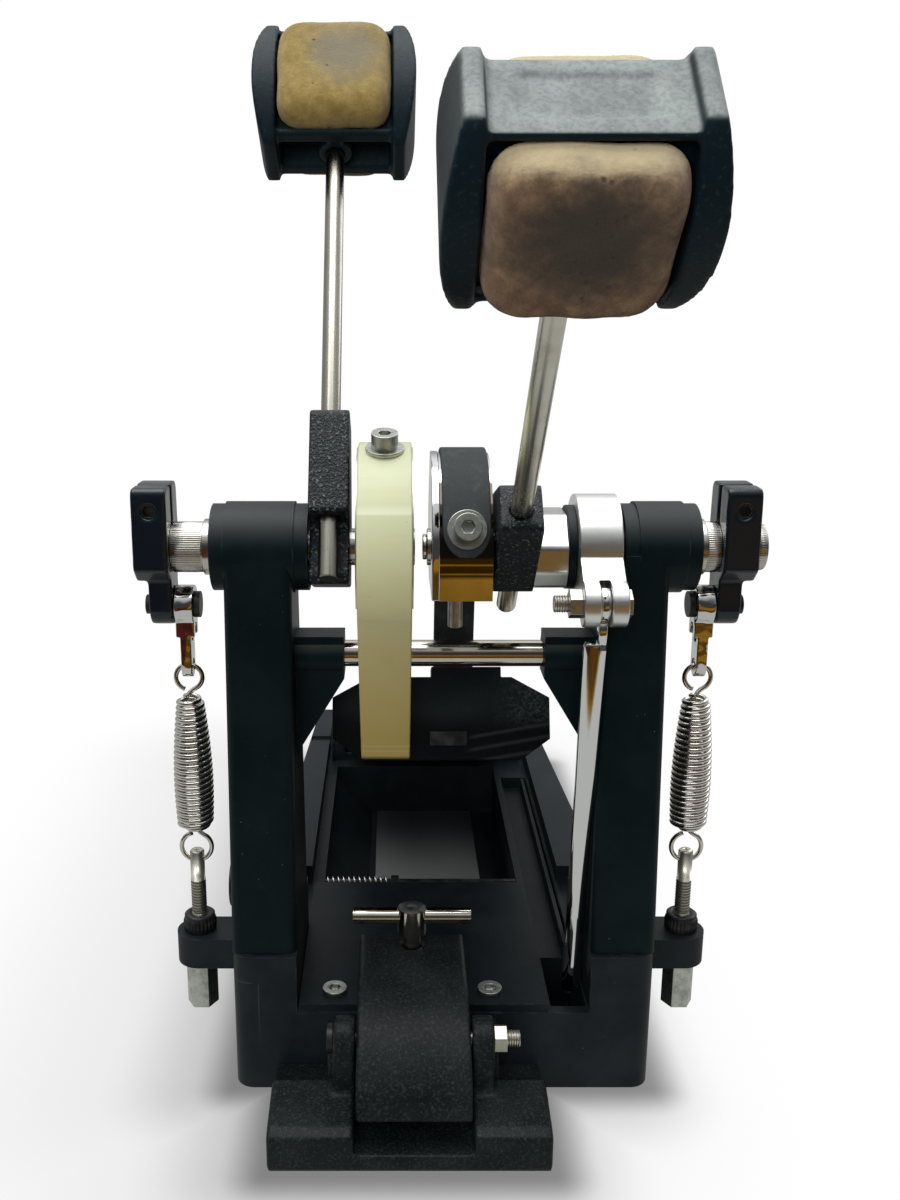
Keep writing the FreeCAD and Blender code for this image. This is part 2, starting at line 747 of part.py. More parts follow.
def base_frame():
    base = Solid("base_frame")
    base.pad("XY_Plane", zero, z.deck_height, [
        (-z.frame_half, -z.base_front), (z.frame_half, -z.base_front), (z.frame_half, z.base_shoulder),
        (z.base_rear_half, z.base_rear), (-z.base_rear_half, z.base_rear), (-z.frame_half, z.base_shoulder)])
    inner = z.tower_in
    for side in (1, -1):
        front, rear = z.edge_rail_front, z.base_rear - z.edge_rail_rear
        slope = z.base_taper / (z.base_rear - z.base_shoulder)
        outer = z.frame_half - z.edge_rail_set
        wide, narrow = (outer - slope * (y - z.base_shoulder) for y in (front, rear))
        edge = [(z.edge_rail_in, front), (wide, front), (narrow, rear), (z.edge_rail_in, rear)]
        base.pad("XY_Plane", zero, z.edge_rail_high, [(x * side, y) for x, y in edge][::side])
        left, right = sided(side, inner, z.frame_half)
        base.pad("XY_Plane", zero, z.seam_height, rectangle(left, -z.base_front, right, z.seat_rear))
        root_x = z.frame_half - z.overrun
        if side > 0:
            lug = [(root_x, -z.lug_half), (z.spring_reach, -z.lug_half, z.lug_half, 1, 0),
                   (z.spring_reach, z.lug_half), (root_x, z.lug_half)]
        else:
            lug = [(-root_x, z.lug_half), (-z.spring_reach, z.lug_half, z.lug_half, 1, 0),
                   (-z.spring_reach, -z.lug_half), (-root_x, -z.lug_half)]
        base.pad("XY_Plane", z.lug_low, z.lug_high - z.lug_low, lug)
        left, right = sided(side, z.hinge_ear_in, z.hinge_ear_in + z.hinge_ear_thick)
        base.pad("YZ_Plane", left, z.hinge_ear_thick, [
            (z.hinge_y - z.hinge_ear_radius, z.tray_floor), (z.hinge_y + z.hinge_ear_radius, z.tray_floor),
            (z.hinge_y + z.hinge_ear_radius, z.hinge_z, z.hinge_ear_radius, 1, 0),
            (z.hinge_y - z.hinge_ear_radius, z.hinge_z)])
    tall = z.seam_height + z.overrun
    base.pocket("XY_Plane", z.tray_floor, tall,
                rectangle(-z.tray_left, z.tray_front, z.tray_right, z.tray_rear))
    base.pocket("XY_Plane", z.slot_floor, tall,
                rectangle(z.slot_left, -z.slot_front, z.slot_right, z.slot_step))
    base.pocket("XY_Plane", z.channel_floor, tall, rectangle(
        z.slot_left, z.slot_step - z.overrun, z.slot_right, z.slot_rear))
    base.pad("XZ_Plane", -z.tray_rear, z.tray_rear - z.tray_front, [
        (-z.tray_left - z.fit_gap, z.tray_floor - z.fit_gap),
        (z.tray_slope_reach - z.tray_left, z.tray_floor - z.fit_gap),
        (-z.tray_left - z.fit_gap, z.tray_slope_high)])
    for x in (z.link_x - z.rail_space / 2, z.link_x + z.rail_space / 2):
        base.pad("XY_Plane", z.channel_floor - z.fit_gap, z.rail_high - z.channel_floor, rectangle(
            x - z.rail_half, z.slot_step, x + z.rail_half, z.slot_rear - z.rail_end))
    middle = z.frame_half - z.tower_wide / 2
    spots = [(s, y) for s in (middle, -middle) for y in (-z.tower_bolt_front, z.tower_bolt_rear)]
    base.pocket("XY_Plane", zero, z.tower_bolt_head_low + z.cap_head_tall,
                circles=[(x, y, z.screw_head_radius + z.seat_gap) for x, y in spots])
    base.pocket("XY_Plane", zero, tall, circles=[(x, y, z.screw_radius + z.fit_gap) for x, y in spots])
    studs = [(s, zero, z.stud_radius + z.fit_gap) for s in (z.spring_reach, -z.spring_reach)]
    base.pocket("XY_Plane", z.lug_low - z.overrun, z.lug_high, circles=studs)
    base.pocket("YZ_Plane", -z.frame_half - z.overrun, z.frame_half + z.slot_right,
                circles=[(z.latch_y, z.latch_z, z.latch_radius + z.running_gap)])
    base.pocket("YZ_Plane", -z.base_rear_half, z.base_rear_half * 2,
                circles=[(z.hinge_y, z.hinge_z, z.hinge_pin_radius + z.fit_gap)])
    screws = [(x, -z.deck_screw_y, z.screw_radius + z.fit_gap)
              for x in (-z.deck_screw_left, z.deck_screw_right)]
    base.pocket("XY_Plane", z.deck_height - z.screw_long, z.screw_long + z.overrun, circles=screws)
    base.fillet(z.base_corner_round, lambda e: runs_along(e, "z") and (
        near(abs(e.CenterOfMass.x), z.frame_half) and passes(e, y=-z.base_front)))
    base.keep()


def plates():
    keep("floor_plate", block("floor_plate", (-z.floor_plate_left, z.floor_plate_front, z.tray_floor),
                              (z.floor_plate_right, z.floor_plate_rear, z.tray_floor + z.plate_thick)))
    deck = Solid("deck_plate")
    deck.pad("XY_Plane", z.deck_height, z.deck_thick,
             rectangle(-z.deck_left, -z.deck_front, z.deck_right, z.deck_rear))
    deck.pocket("XY_Plane", z.deck_height, z.deck_thick + z.overrun, circles=[
        (x, -z.deck_screw_y, z.screw_radius + z.fit_gap) for x in (-z.deck_screw_left, z.deck_screw_right)])
    deck.keep()
    high = z.deck_height + z.deck_thick
    keep("deck_screws", group("deck_screws", *[
        cap_screw("deck_screw_%d" % i, "Z", 1, x, -z.deck_screw_y, high, z.screw_long, z.deck_head_tall)
        for i, x in enumerate((-z.deck_screw_left, z.deck_screw_right), start=1)]))
    keep("heel_plate", block("heel_plate", (-z.heel_half, z.heel_front, z.deck_height),
                             (z.heel_half, z.heel_rear, z.heel_high)))


def tower(name, side, housing_in, housing_out):
    solid = Solid(name)
    inner = z.tower_in
    left, right = sided(side, inner, z.frame_half)
    top = z.axle_height
    solid.pad("YZ_Plane", left, z.tower_wide, [
        (-z.tower_front_low, z.seam_height), (z.tower_rear_low, z.seam_height),
        (z.tower_half_top, top), (-z.tower_half_top, top)])
    solid.fillet(z.tower_edge_round, lambda e: abs(e.Curve.Direction.x) < level_share
                 and abs(e.Curve.Direction.z) > upright_share)
    low, high = sided(side, housing_in, housing_out)
    solid.pad("YZ_Plane", low, housing_out - housing_in, circles=[(zero, top, z.flange_radius)])
    solid.pad("YZ_Plane", low + z.flange_wide, housing_out - housing_in - z.flange_wide * 2,
              circles=[(zero, top, z.housing_radius)])
    rod = z.axle_height - z.rod_drop
    boss_low, boss_high = sided(side, z.boss_in, inner + z.overrun)
    solid.pad("YZ_Plane", boss_low, inner + z.overrun - z.boss_in, circles=[(zero, rod, z.boss_radius)])
    s = side
    solid.pad("XZ_Plane", -z.gusset_half, z.gusset_half * 2, [
        ((inner + z.overrun) * s, rod + z.boss_radius - z.fit_gap),
        (z.boss_in * s, rod + z.boss_radius - z.fit_gap),
        (z.boss_in * s, rod - z.boss_radius + z.fit_gap), (inner * s, rod - z.gusset_drop),
        ((inner + z.overrun) * s, rod - z.gusset_drop)])
    solid.pocket("YZ_Plane", low - z.overrun, housing_out - housing_in + z.overrun * 2,
                 circles=[(zero, top, z.bearing_radius + z.fit_gap)])
    hole_low, hole_high = sided(side, z.boss_in - z.overrun, z.boss_in + z.boss_bite)
    solid.pocket("YZ_Plane", hole_low, z.boss_bite + z.overrun,
                 circles=[(zero, rod, z.cross_rod_radius + z.fit_gap)])
    if side > 0:
        # Room for the link collar and its ears beside the bearing housing.
        reach = housing_in - inner + z.overrun
        solid.pocket("YZ_Plane", inner - z.overrun, reach,
                     circles=[(zero, top, z.link_collar_radius + z.recess_gap)])
        solid.pocket("YZ_Plane", inner - z.overrun, reach, rectangle(
            -z.tower_front_low - z.overrun, top - z.recess_low, -z.recess_back, top + z.overrun))
    middle = (z.frame_half - z.tower_wide / 2) * s
    solid.pocket("XY_Plane", z.seam_height - z.overrun, z.overrun + z.tower_bolt_bite + z.fit_gap, circles=[
        (middle, y, z.screw_radius + z.fit_gap) for y in (-z.tower_bolt_front, z.tower_bolt_rear)])
    solid.keep()


def frame_pieces():
    rod = z.axle_height - z.rod_drop
    reach = z.boss_in + z.boss_bite - z.fit_gap
    keep("cross_rod", bar("cross_rod", "X", z.cross_rod_radius, -reach, reach, zero, rod))
    for name, side, inside, outside in (("left_bearings", -1, z.left_housing_in, z.left_housing_out),
                                        ("right_bearings", 1, z.right_housing_in, z.right_housing_out)):
        rings = []
        for i, start in enumerate((inside, outside - z.bearing_wide), start=1):
            low, high = sided(side, start, start + z.bearing_wide)
            body = bar("%s_body_%d" % (name, i), "X", z.bearing_radius, low, high, zero, z.axle_height)
            hole = bar("%s_hole_%d" % (name, i), "X", z.axle_radius + z.running_gap, low - z.overrun,
                       high + z.overrun, zero, z.axle_height)
            rings.append(cut("%s_ring_%d" % (name, i), body, hole))
        keep(name, group(name, *rings))
    middle = z.frame_half - z.tower_wide / 2
    bolts = []
    for x in (middle, -middle):
        for y in (-z.tower_bolt_front, z.tower_bolt_rear):
            number = len(bolts) + 1
            high = z.tower_bolt_head_low + z.cap_head_tall
            bolts.append(cap_screw("tower_bolt_%d" % number, "Z", -1, x, y, high,
                                   z.seam_height + z.tower_bolt_bite - high, z.cap_head_tall))
    keep("tower_bolts", group("tower_bolts", *bolts))
    studs = []
    for side in (-1, 1):
        x = z.spring_reach * side
        name = "spring_stud_%d" % (len(studs) + 1)
        shank = bar(name + "_shank", "Z", z.stud_radius, z.stud_low, z.stud_high, x, zero)
        low = z.stud_high - z.stud_flat_long
        high = z.stud_high + z.overrun
        wide = z.stud_radius + z.overrun
        sides = ((x - wide, x - z.stud_flat_half), (x + z.stud_flat_half, x + wide))
        flats = [block("%s_flat_%d" % (name, i), (a, -wide, low), (b, wide, high))
                 for i, (a, b) in enumerate(sides, start=1)]
        eye = bar(name + "_eye", "X", z.stud_eye_radius, x - wide, x + wide, zero,
                  z.stud_high - z.stud_eye_drop)
        studs.append(cut(name, shank, eye, *flats))
    keep("spring_studs", group("spring_studs", *studs))
    for word, side in (("left", -1), ("right", 1)):
        x = z.spring_reach * side
        hole = bar(word + "_thumb_hole", "Z", z.stud_radius + z.running_gap, z.lug_high - z.overrun,
                   z.lug_high + z.thumb_nut_tall + z.overrun, x, zero)
        body = bar(word + "_thumb_body", "Z", z.thumb_nut_radius, z.lug_high + z.running_gap,
                   z.lug_high + z.thumb_nut_tall, x, zero)
        keep(word + "_thumb_nut", cut(word + "_thumb_nut", body, hole))
        low = z.lug_low - z.tension_nut_tall
        hole = bar(word + "_tension_hole", "Z", z.stud_radius + z.running_gap, low - z.overrun,
                   z.lug_low + z.overrun, x, zero)
        body = hexagon(word + "_tension_body", "Z", z.tension_nut_radius, low, z.lug_low - z.running_gap, x,
                       zero)
        keep(word + "_tension_nut", cut(word + "_tension_nut", body, hole))
    outside = z.hinge_ear_in + z.hinge_ear_thick
    keep("hinge_pin", bar("hinge_pin", "X", z.hinge_pin_radius, -outside, outside, z.hinge_y, z.hinge_z))


def rocker(word, side, inside):
    solid = Solid(word + "_rocker")
    low, high = sided(side, inside, inside + z.rocker_wide)
    axle = z.axle_height
    solid.pad("YZ_Plane", low, z.rocker_wide, [
        (-z.rocker_half_mid, axle - z.rocker_mid_drop), (-z.ear_half, axle - z.rocker_neck_drop),
        (-z.ear_half, axle - z.ear_drop, z.ear_half, 1, 0), (z.ear_half, axle - z.ear_drop),
        (z.ear_half, axle - z.rocker_neck_drop), (z.rocker_half_mid, axle - z.rocker_mid_drop),
        (z.rocker_half_top, axle + z.rocker_top), (-z.rocker_half_top, axle + z.rocker_top)])
    thick = z.rocker_wide + z.overrun * 2
    solid.pocket("YZ_Plane", low - z.overrun, thick, circles=[(zero, axle, z.axle_radius + z.fit_gap)])
    solid.pocket("YZ_Plane", low - z.overrun, thick,
                 circles=[(zero, axle - z.ear_drop, z.pin_radius + z.fit_gap)])
    solid.pocket("YZ_Plane", low - z.overrun, thick,
                 rectangle(-z.rocker_slot_half, axle, z.rocker_slot_half, axle + z.rocker_top + z.overrun))
    middle = (low + high) / 2
    wide = z.rocker_half_mid + z.overrun
    solid.pocket("XZ_Plane", -wide, wide * 2, circles=[
        (middle, axle + z.rocker_screw_rise, z.screw_radius + z.fit_gap)])
    solid.fillet(z.holder_round, lambda e: runs_along(e, "x") and (
        passes(e, z=axle + z.rocker_top) and abs(e.CenterOfMass.y) > z.axle_radius.value))
    out = inside + z.rocker_wide
    step_low, step_high = sided(side, out - z.rocker_ear_set, out + z.overrun)
    solid.pocket("YZ_Plane", step_low, z.rocker_ear_set + z.overrun, rectangle(
        -wide, axle - z.ear_drop - z.ear_half - z.overrun, wide, axle - z.rocker_neck_drop))
    solid.keep()
    rise = axle + z.rocker_screw_rise
    start = z.rocker_screw_set - z.rocker_half_top
    grub = bar(word + "_rocker_grub", "Y", z.screw_radius, start, z.rocker_screw_reach, middle, rise)
    socket = hexagon(word + "_rocker_socket", "Y", z.socket_radius, start - z.overrun, start + z.socket_deep,
                     middle, rise)
    screw = cut(word + "_rocker_screw", grub, socket)
    out = out - z.rocker_ear_set + z.pin_head_tall
    head_top = z.spring_reach - z.hook_thick / 2 - z.running_gap
    pin_low, pin_high = sided(side, head_top - z.fit_gap, out)
    head_low, head_high = sided(side, head_top - z.pin_head_tall, head_top)
    drop = axle - z.ear_drop
    pin = fuse(word + "_hook_pin",
               bar(word + "_pin_shank", "X", z.pin_radius, pin_low, pin_high, zero, drop),
               bar(word + "_pin_head", "X", z.pin_head_radius, head_low, head_high, zero, drop))
    keep(word + "_rocker_screws", group(word + "_rocker_screws", screw, pin))
    hook = Solid(word + "_spring_hook")
    start, end = sided(side, z.spring_reach - z.hook_thick / 2, z.spring_reach + z.hook_thick / 2)
    eye = axle - z.hook_hole_drop
    hook.pad("YZ_Plane", start, z.hook_thick, circles=[(zero, drop, z.hook_eye_radius)])
    hook.pad("YZ_Plane", start, z.hook_thick,
             rectangle(-z.hook_half, drop - z.hook_body_drop, z.hook_half, drop))
    spare = (z.hook_thick - z.hook_tongue_thick) / 2
    hook.pad("YZ_Plane", start + spare, z.hook_tongue_thick, [
        (-z.hook_half, drop), (-z.hook_half, eye, z.hook_half, 1, 0), (z.hook_half, eye),
        (z.hook_half, drop)])
    deep = z.hook_thick + z.overrun * 2
    hook.pocket("YZ_Plane", start - z.overrun, deep, [
        (-z.hook_slot_half, drop - z.hook_slot_top),
        (-z.hook_slot_half, drop - z.hook_slot_low, z.hook_slot_half, 1, 0),
        (z.hook_slot_half, drop - z.hook_slot_low),
        (z.hook_slot_half, drop - z.hook_slot_top, z.hook_slot_half, 1, 0)])
    hook.pocket("YZ_Plane", start - z.overrun, deep, circles=[(zero, drop, z.pin_radius + z.running_gap)])
    hook.pocket("YZ_Plane", start - z.overrun, deep, circles=[(zero, eye, z.eye_radius)])
    hook.keep()


def axles():
    height = z.axle_height
    left = fuse("left_axle",
                bar("left_axle_shaft", "X", z.axle_radius, -z.left_axle_out, -z.left_axle_in, zero, height),
                bar("left_axle_knurl", "X", z.knurl_radius, -z.left_rocker_in,
                    -z.left_housing_out - z.collar_wide, zero, height),
                bar("left_axle_collar", "X", z.collar_radius, -z.left_housing_out - z.collar_wide,
                    -z.left_housing_out - z.seat_gap, zero, height))
    keep("left_axle", left)
    shaft = fuse("right_axle_blank",
                 bar("right_axle_shaft", "X", z.axle_radius, z.right_axle_left, z.right_axle_out, zero,
                     height),
                 bar("right_axle_knurl", "X", z.knurl_radius, z.right_housing_out + z.collar_wide,
                     z.right_rocker_in, zero, height),
                 bar("right_axle_collar", "X", z.collar_radius, z.right_housing_out + z.seat_gap,
                     z.right_housing_out + z.collar_wide, zero, height),
                 bar("right_axle_cap", "X", z.axle_cap_radius, z.right_rocker_in + z.rocker_wide,
                     z.right_rocker_in + z.rocker_wide + z.axle_cap_wide, zero, height))
    hole = bar("right_axle_hole", "X", z.screw_radius + z.fit_gap, z.right_axle_left - z.overrun,
               z.right_axle_left + z.strap_screw_long + z.fit_gap, zero, height)
    keep("right_axle", cut("right_axle", shaft, hole))
    keep("right_end_screw", cap_screw("right_end_screw", "X", -1, z.right_axle_left, zero, height,
                                      z.strap_screw_long, z.deck_head_tall))


def holder(word, x, lean, reach):
    solid = Solid(word + "_beater_holder")
    half = z.holder_wide / 2
    solid.pad("YZ_Plane", -half, z.holder_wide, [
        (-z.holder_front, z.holder_step), (-z.holder_step_front, z.holder_step),
        (-z.holder_step_front, -z.holder_low), (z.holder_rear, -z.holder_low_rear),
        (z.holder_rear, z.holder_shoulder), (-z.holder_top_rear, z.holder_top),
        (-z.holder_front, z.holder_top)])
    solid.pocket("YZ_Plane", -z.holder_wide, z.holder_wide * 2,
                 circles=[(zero, zero, z.axle_radius + z.fit_gap)])
    solid.pocket("XY_Plane", -z.holder_low, z.holder_top + z.holder_low + z.overrun,
                 circles=[(zero, -z.rod_offset, z.beater_rod_radius + z.fit_gap)])
    solid.pocket("YZ_Plane", zero, z.holder_wide, circles=[
        (-z.rod_offset, z.holder_screw_rise, z.screw_radius + z.fit_gap)])
    tilt(solid.body, x, lean)
    solid.fillet(z.holder_round, lambda e: runs_along(e, "x") and (
        passes(e, z=z.holder_top) or passes(e, z=-z.holder_low)))
    solid.keep()
    face = half - z.rocker_screw_set
    grub = bar(word + "_holder_grub", "X", z.screw_radius, z.beater_rod_radius + z.fit_gap, face,
               -z.rod_offset, z.holder_screw_rise)
    socket = hexagon(word + "_holder_socket", "X", z.socket_radius, face - z.socket_deep, face + z.overrun,
                     -z.rod_offset, z.holder_screw_rise)
    screw = cut(word + "_holder_screw", grub, socket)
    tilt(screw, x, lean)
    keep(word + "_holder_screw", screw)
    stem = bar(word + "_rod_stem", "Z", z.beater_rod_radius, -z.beater_rod_low,
               reach + z.rod_bore_top, zero, -z.rod_offset)
    rod = doc.addObject("Part::Compound", word + "_beater_rod_placed")
    rod.Links = [stem]
    tilt(rod, x, lean)
    keep(word + "_beater_rod", rod)


def head(word, x, lean, up):
    # The head is drawn about the middle of its web, then moved out along the rod.
    solid = Solid(word + "_beater_head")
    offset = -z.rod_offset
    solid.pad("XY_Plane", up - z.head_web_tall, z.head_web_tall * 2, rectangle(
        -z.head_web_half - z.overrun, offset - z.head_web_deep, z.head_web_half + z.overrun,
        offset + z.head_web_deep))
    for side in (-1, 1):
        low, high = sided(side, z.head_web_half, z.head_half_wide)
        solid.pad("YZ_Plane", low, z.head_half_wide - z.head_web_half, [
            (offset - z.cheek_flat, up + z.cheek_tall, z.cheek_arc, 1, 1),
            (offset - z.cheek_flat, up - z.cheek_tall),
            (offset + z.cheek_flat, up - z.cheek_tall, z.cheek_arc, 1, 1),
            (offset + z.cheek_flat, up + z.cheek_tall)])
    deep = z.cheek_arc
    arc = z.cheek_side_arc
    edge = z.head_half_wide - (arc - root(arc * arc - z.cheek_tall * z.cheek_tall))
    far = z.head_half_wide + z.overrun
    for side in (-1, 1):
        outline = [(edge * side, up - z.cheek_tall, z.cheek_side_arc, side, 1),
                   (edge * side, up + z.cheek_tall),
                   (far * side, up + z.cheek_tall), (far * side, up - z.cheek_tall)]
        solid.pocket("XZ_Plane", -offset - deep, deep * 2, outline)
    for side in (-1, 1):
        start = -offset + z.felt_seat if side > 0 else -offset - z.felt_front
        solid.pocket("XZ_Plane", start, z.felt_front - z.felt_seat, rectangle(
            -z.head_web_half, up - z.felt_half_tall - z.seat_gap, z.head_web_half,
            up + z.felt_half_tall + z.seat_gap))
    solid.pocket("XY_Plane", up + z.head_web_tall - z.recess_drop, z.overrun, rectangle(
        -z.recess_half_wide, offset - z.recess_half_deep, z.recess_half_wide, offset + z.recess_half_deep))
    low = up - z.head_web_tall
    solid.pocket("XY_Plane", low - z.overrun, z.overrun + z.under_pocket_deep, rectangle(
        -z.under_pocket_out, offset - z.under_pocket_half, z.under_pocket_out, offset + z.under_pocket_half),
        circles=[(zero, offset, z.under_boss_radius)])
    solid.pocket("XY_Plane", low - z.overrun, z.overrun + z.head_web_tall + z.rod_bore_top + z.fit_gap,
                 circles=[(zero, offset, z.beater_rod_radius + z.fit_gap)])
    solid.fillet(z.cheek_round, lambda e: runs_along(e, "x") and (
        near(abs(e.CenterOfMass.z - up.value), z.cheek_tall)))
    tilt(solid.body, x, lean)
    solid.keep()


def rounded_square(half_wide, half_tall, corner, depth, centre):
    x, up = half_wide - corner, half_tall - corner
    lean = corner * math.sqrt(0.5)

    def spot(a, b):
        return FreeCAD.Vector(a, centre.y + depth, centre.z + b)

    edges = []
    for sx, sz, first in ((1, 1, True), (-1, 1, False), (-1, -1, True), (1, -1, False)):
        ends = [spot(sx * half_wide, sz * up), spot(sx * x, sz * half_tall)]
        if not first:
            ends.reverse()
        edges.append(Part.Arc(ends[0], spot(sx * (x + lean), sz * (up + lean)), ends[1]).toShape())
    closed = []
    for i, arc in enumerate(edges):
        after = edges[(i + 1) % len(edges)]
        closed.append(arc)
        closed.append(Part.LineSegment(arc.Vertexes[-1].Point, after.Vertexes[0].Point).toShape())
    return Part.Wire(closed)


def felts(word, x, lean, up):
    # Crowned pads: each is lofted through four rounded squares that close in towards the striking face.
    depth_shares = (0.0, 0.55, 0.86, 1.0)
    size_shares = (1.0, 1.0, 0.93, 0.74)
    centre = FreeCAD.Vector(0, -z.rod_offset.value, up.value)
    pads = []
    for side in (-1, 1):
        wires = []
        for deep, wide in zip(depth_shares, size_shares):
            reach = z.felt_seat.value + z.fit_gap.value + (z.felt_front.value - z.felt_seat.value) * deep
            wires.append(rounded_square(z.felt_half_wide.value * wide, z.felt_half_tall.value * wide,
                                        z.felt_round.value * wide, reach * side, centre))
        pads.append(Part.makeLoft(wires, True, False))
    item = doc.addObject("Part::Feature", word + "_beater_felts")
    item.Shape = Part.makeCompound(pads)
    tilt(item, x, lean)
    keep(word + "_beater_felts", item)


def arc_spot(radius, angle):
    # A point on a circle round the axle; the angle is counted from the heel side over the top.
    return cosine(angle) * radius, z.axle_height + sine(angle) * radius


def bored(name, body, axis, start, end, x, lean, radius):
    # A body drilled along a line square to the axle, the line leaned about the axle.
    drill = bar(name + "_drill", axis, radius, start, end, *((x, zero) if axis == "Z" else (zero, zero)))
    placed = group(name + "_drill_placed", drill)
    tilt(placed, zero if axis == "Z" else x, lean)
    keep(name, cut(name, body, placed))


def strap_arc(name, start_x, wide, inner, first, last, axis, lean):
    # The part of a strap that lies on its cam, drawn as a band between two angles.
    solid = Solid(name + "_band")
    outer = inner + z.strap_thick
    middle = (first + last) / 2
    spots = [arc_spot(r, a) for r, a in ((outer, first), (outer, middle), (outer, last),
                                         (inner, last), (inner, middle), (inner, first))]
    out, into = (outer, 1, 1), (inner, -1, 1)
    solid.pad("YZ_Plane", start_x, wide, [
        spots[0] + out, spots[1] + out, spots[2], spots[3] + into, spots[4] + into, spots[5]])
    ends = (inner - z.overrun, outer + z.overrun)
    if axis == "Y":
        ends = (-ends[1], -ends[0])
    bored(name, solid.body, axis, *ends, start_x + wide / 2, lean, z.strap_hole)


def board_point(back, rise):
    # A point of the footboard, given along and square to it from the heel hinge.
    return (z.hinge_y - cosine(z.board_slope) * back + sine(z.board_slope) * rise,
            z.hinge_z + sine(z.board_slope) * back + cosine(z.board_slope) * rise)


def strap_run(foot, radius, side):
    # Length and lean of a straight run from a foot point to its tangent on the cam.
    away = foot[0]
    below = z.axle_height - foot[1]
    far = root(away * away + below * below)
    length = root(far * far - radius * radius)
    lean = arc_tangent(away / below) - arc_sine(radius / far) * side
    return length, lean


def left_drive():
    height = z.axle_height
    cam = Solid("left_cam_plain")
    r = z.cam_radius
    top = root(r * r - z.cam_back * z.cam_back)
    front = arc_spot(r, z.half_turn_degrees + z.cam_front_degrees)
    cam.pad("YZ_Plane", -z.left_cam_out, z.cam_wide, [
        (z.cam_back, height + top, r, 1, 1),
        arc_spot(r, z.half_turn_degrees - z.cam_brow_degrees) + (r, 1, 1), front,
        (-z.cam_back, height - z.cam_hub), (z.cam_back, height - z.cam_hub),
        (z.cam_hub, height - z.cam_back),
        (z.cam_hub, height + z.cam_back)])
    cam.pocket("YZ_Plane", -z.left_cam_out - z.overrun, z.cam_wide + z.overrun * 2,
               circles=[(zero, height, z.axle_radius + z.fit_gap)])
    cross = z.cam_wide / 2 - z.left_cam_out
    lean = z.front_screw_degrees
    bored("left_cam", cam.body, "Z", r - z.strap_screw_long, r + z.overrun, cross, lean,
          z.screw_radius + z.fit_gap)
    foot = board_point(z.board_long + z.strap_stand, -z.strap_pin_low)
    inner = r + z.strap_gap
    centre = inner + z.strap_thick / 2
    length, hang = strap_run(foot, centre, -1)
    start_x = cross - z.strap_wide / 2
    strap_arc("front_strap_wrap", start_x, z.strap_wide, inner, z.wrap_start_degrees,
              z.half_turn_degrees + hang,
              "Z", lean)
    run = doc.addObject("Part::Box", "front_strap_run")
    bind(run, "Length", z.strap_wide)
    bind(run, "Width", z.strap_thick)
    bind(run, "Height", length - z.strap_gap)
    holder_box = doc.addObject("Part::Compound", "front_strap_placed")
    holder_box.Links = [run]
    put(run, -z.strap_wide / 2, -z.strap_thick / 2, zero)
    lean_to(holder_box, cross, foot[0], foot[1], hang)
    keep("front_strap", holder_box)
    seat = inner + z.strap_thick + z.strap_gap
    screw = cap_screw("front_strap_bolt", "Z", 1, zero, zero, seat + z.washer_thick, z.strap_screw_long,
                      z.cap_head_tall)
    disc = bar("front_washer_disc", "Z", z.washer_radius, seat, seat + z.washer_thick, zero, zero)
    hole = bar("front_washer_hole", "Z", z.screw_radius + z.fit_gap, seat - z.overrun, seat + z.overrun,
               zero, zero)
    pair = group("front_strap_screw", screw, cut("front_washer", disc, hole))
    tilt(pair, cross, lean)
    keep("front_strap_screw", pair)
    print("front strap", round(foot[0].value, 2), round(foot[1].value, 2), round(length.value, 2),
          round(hang.value, 2))


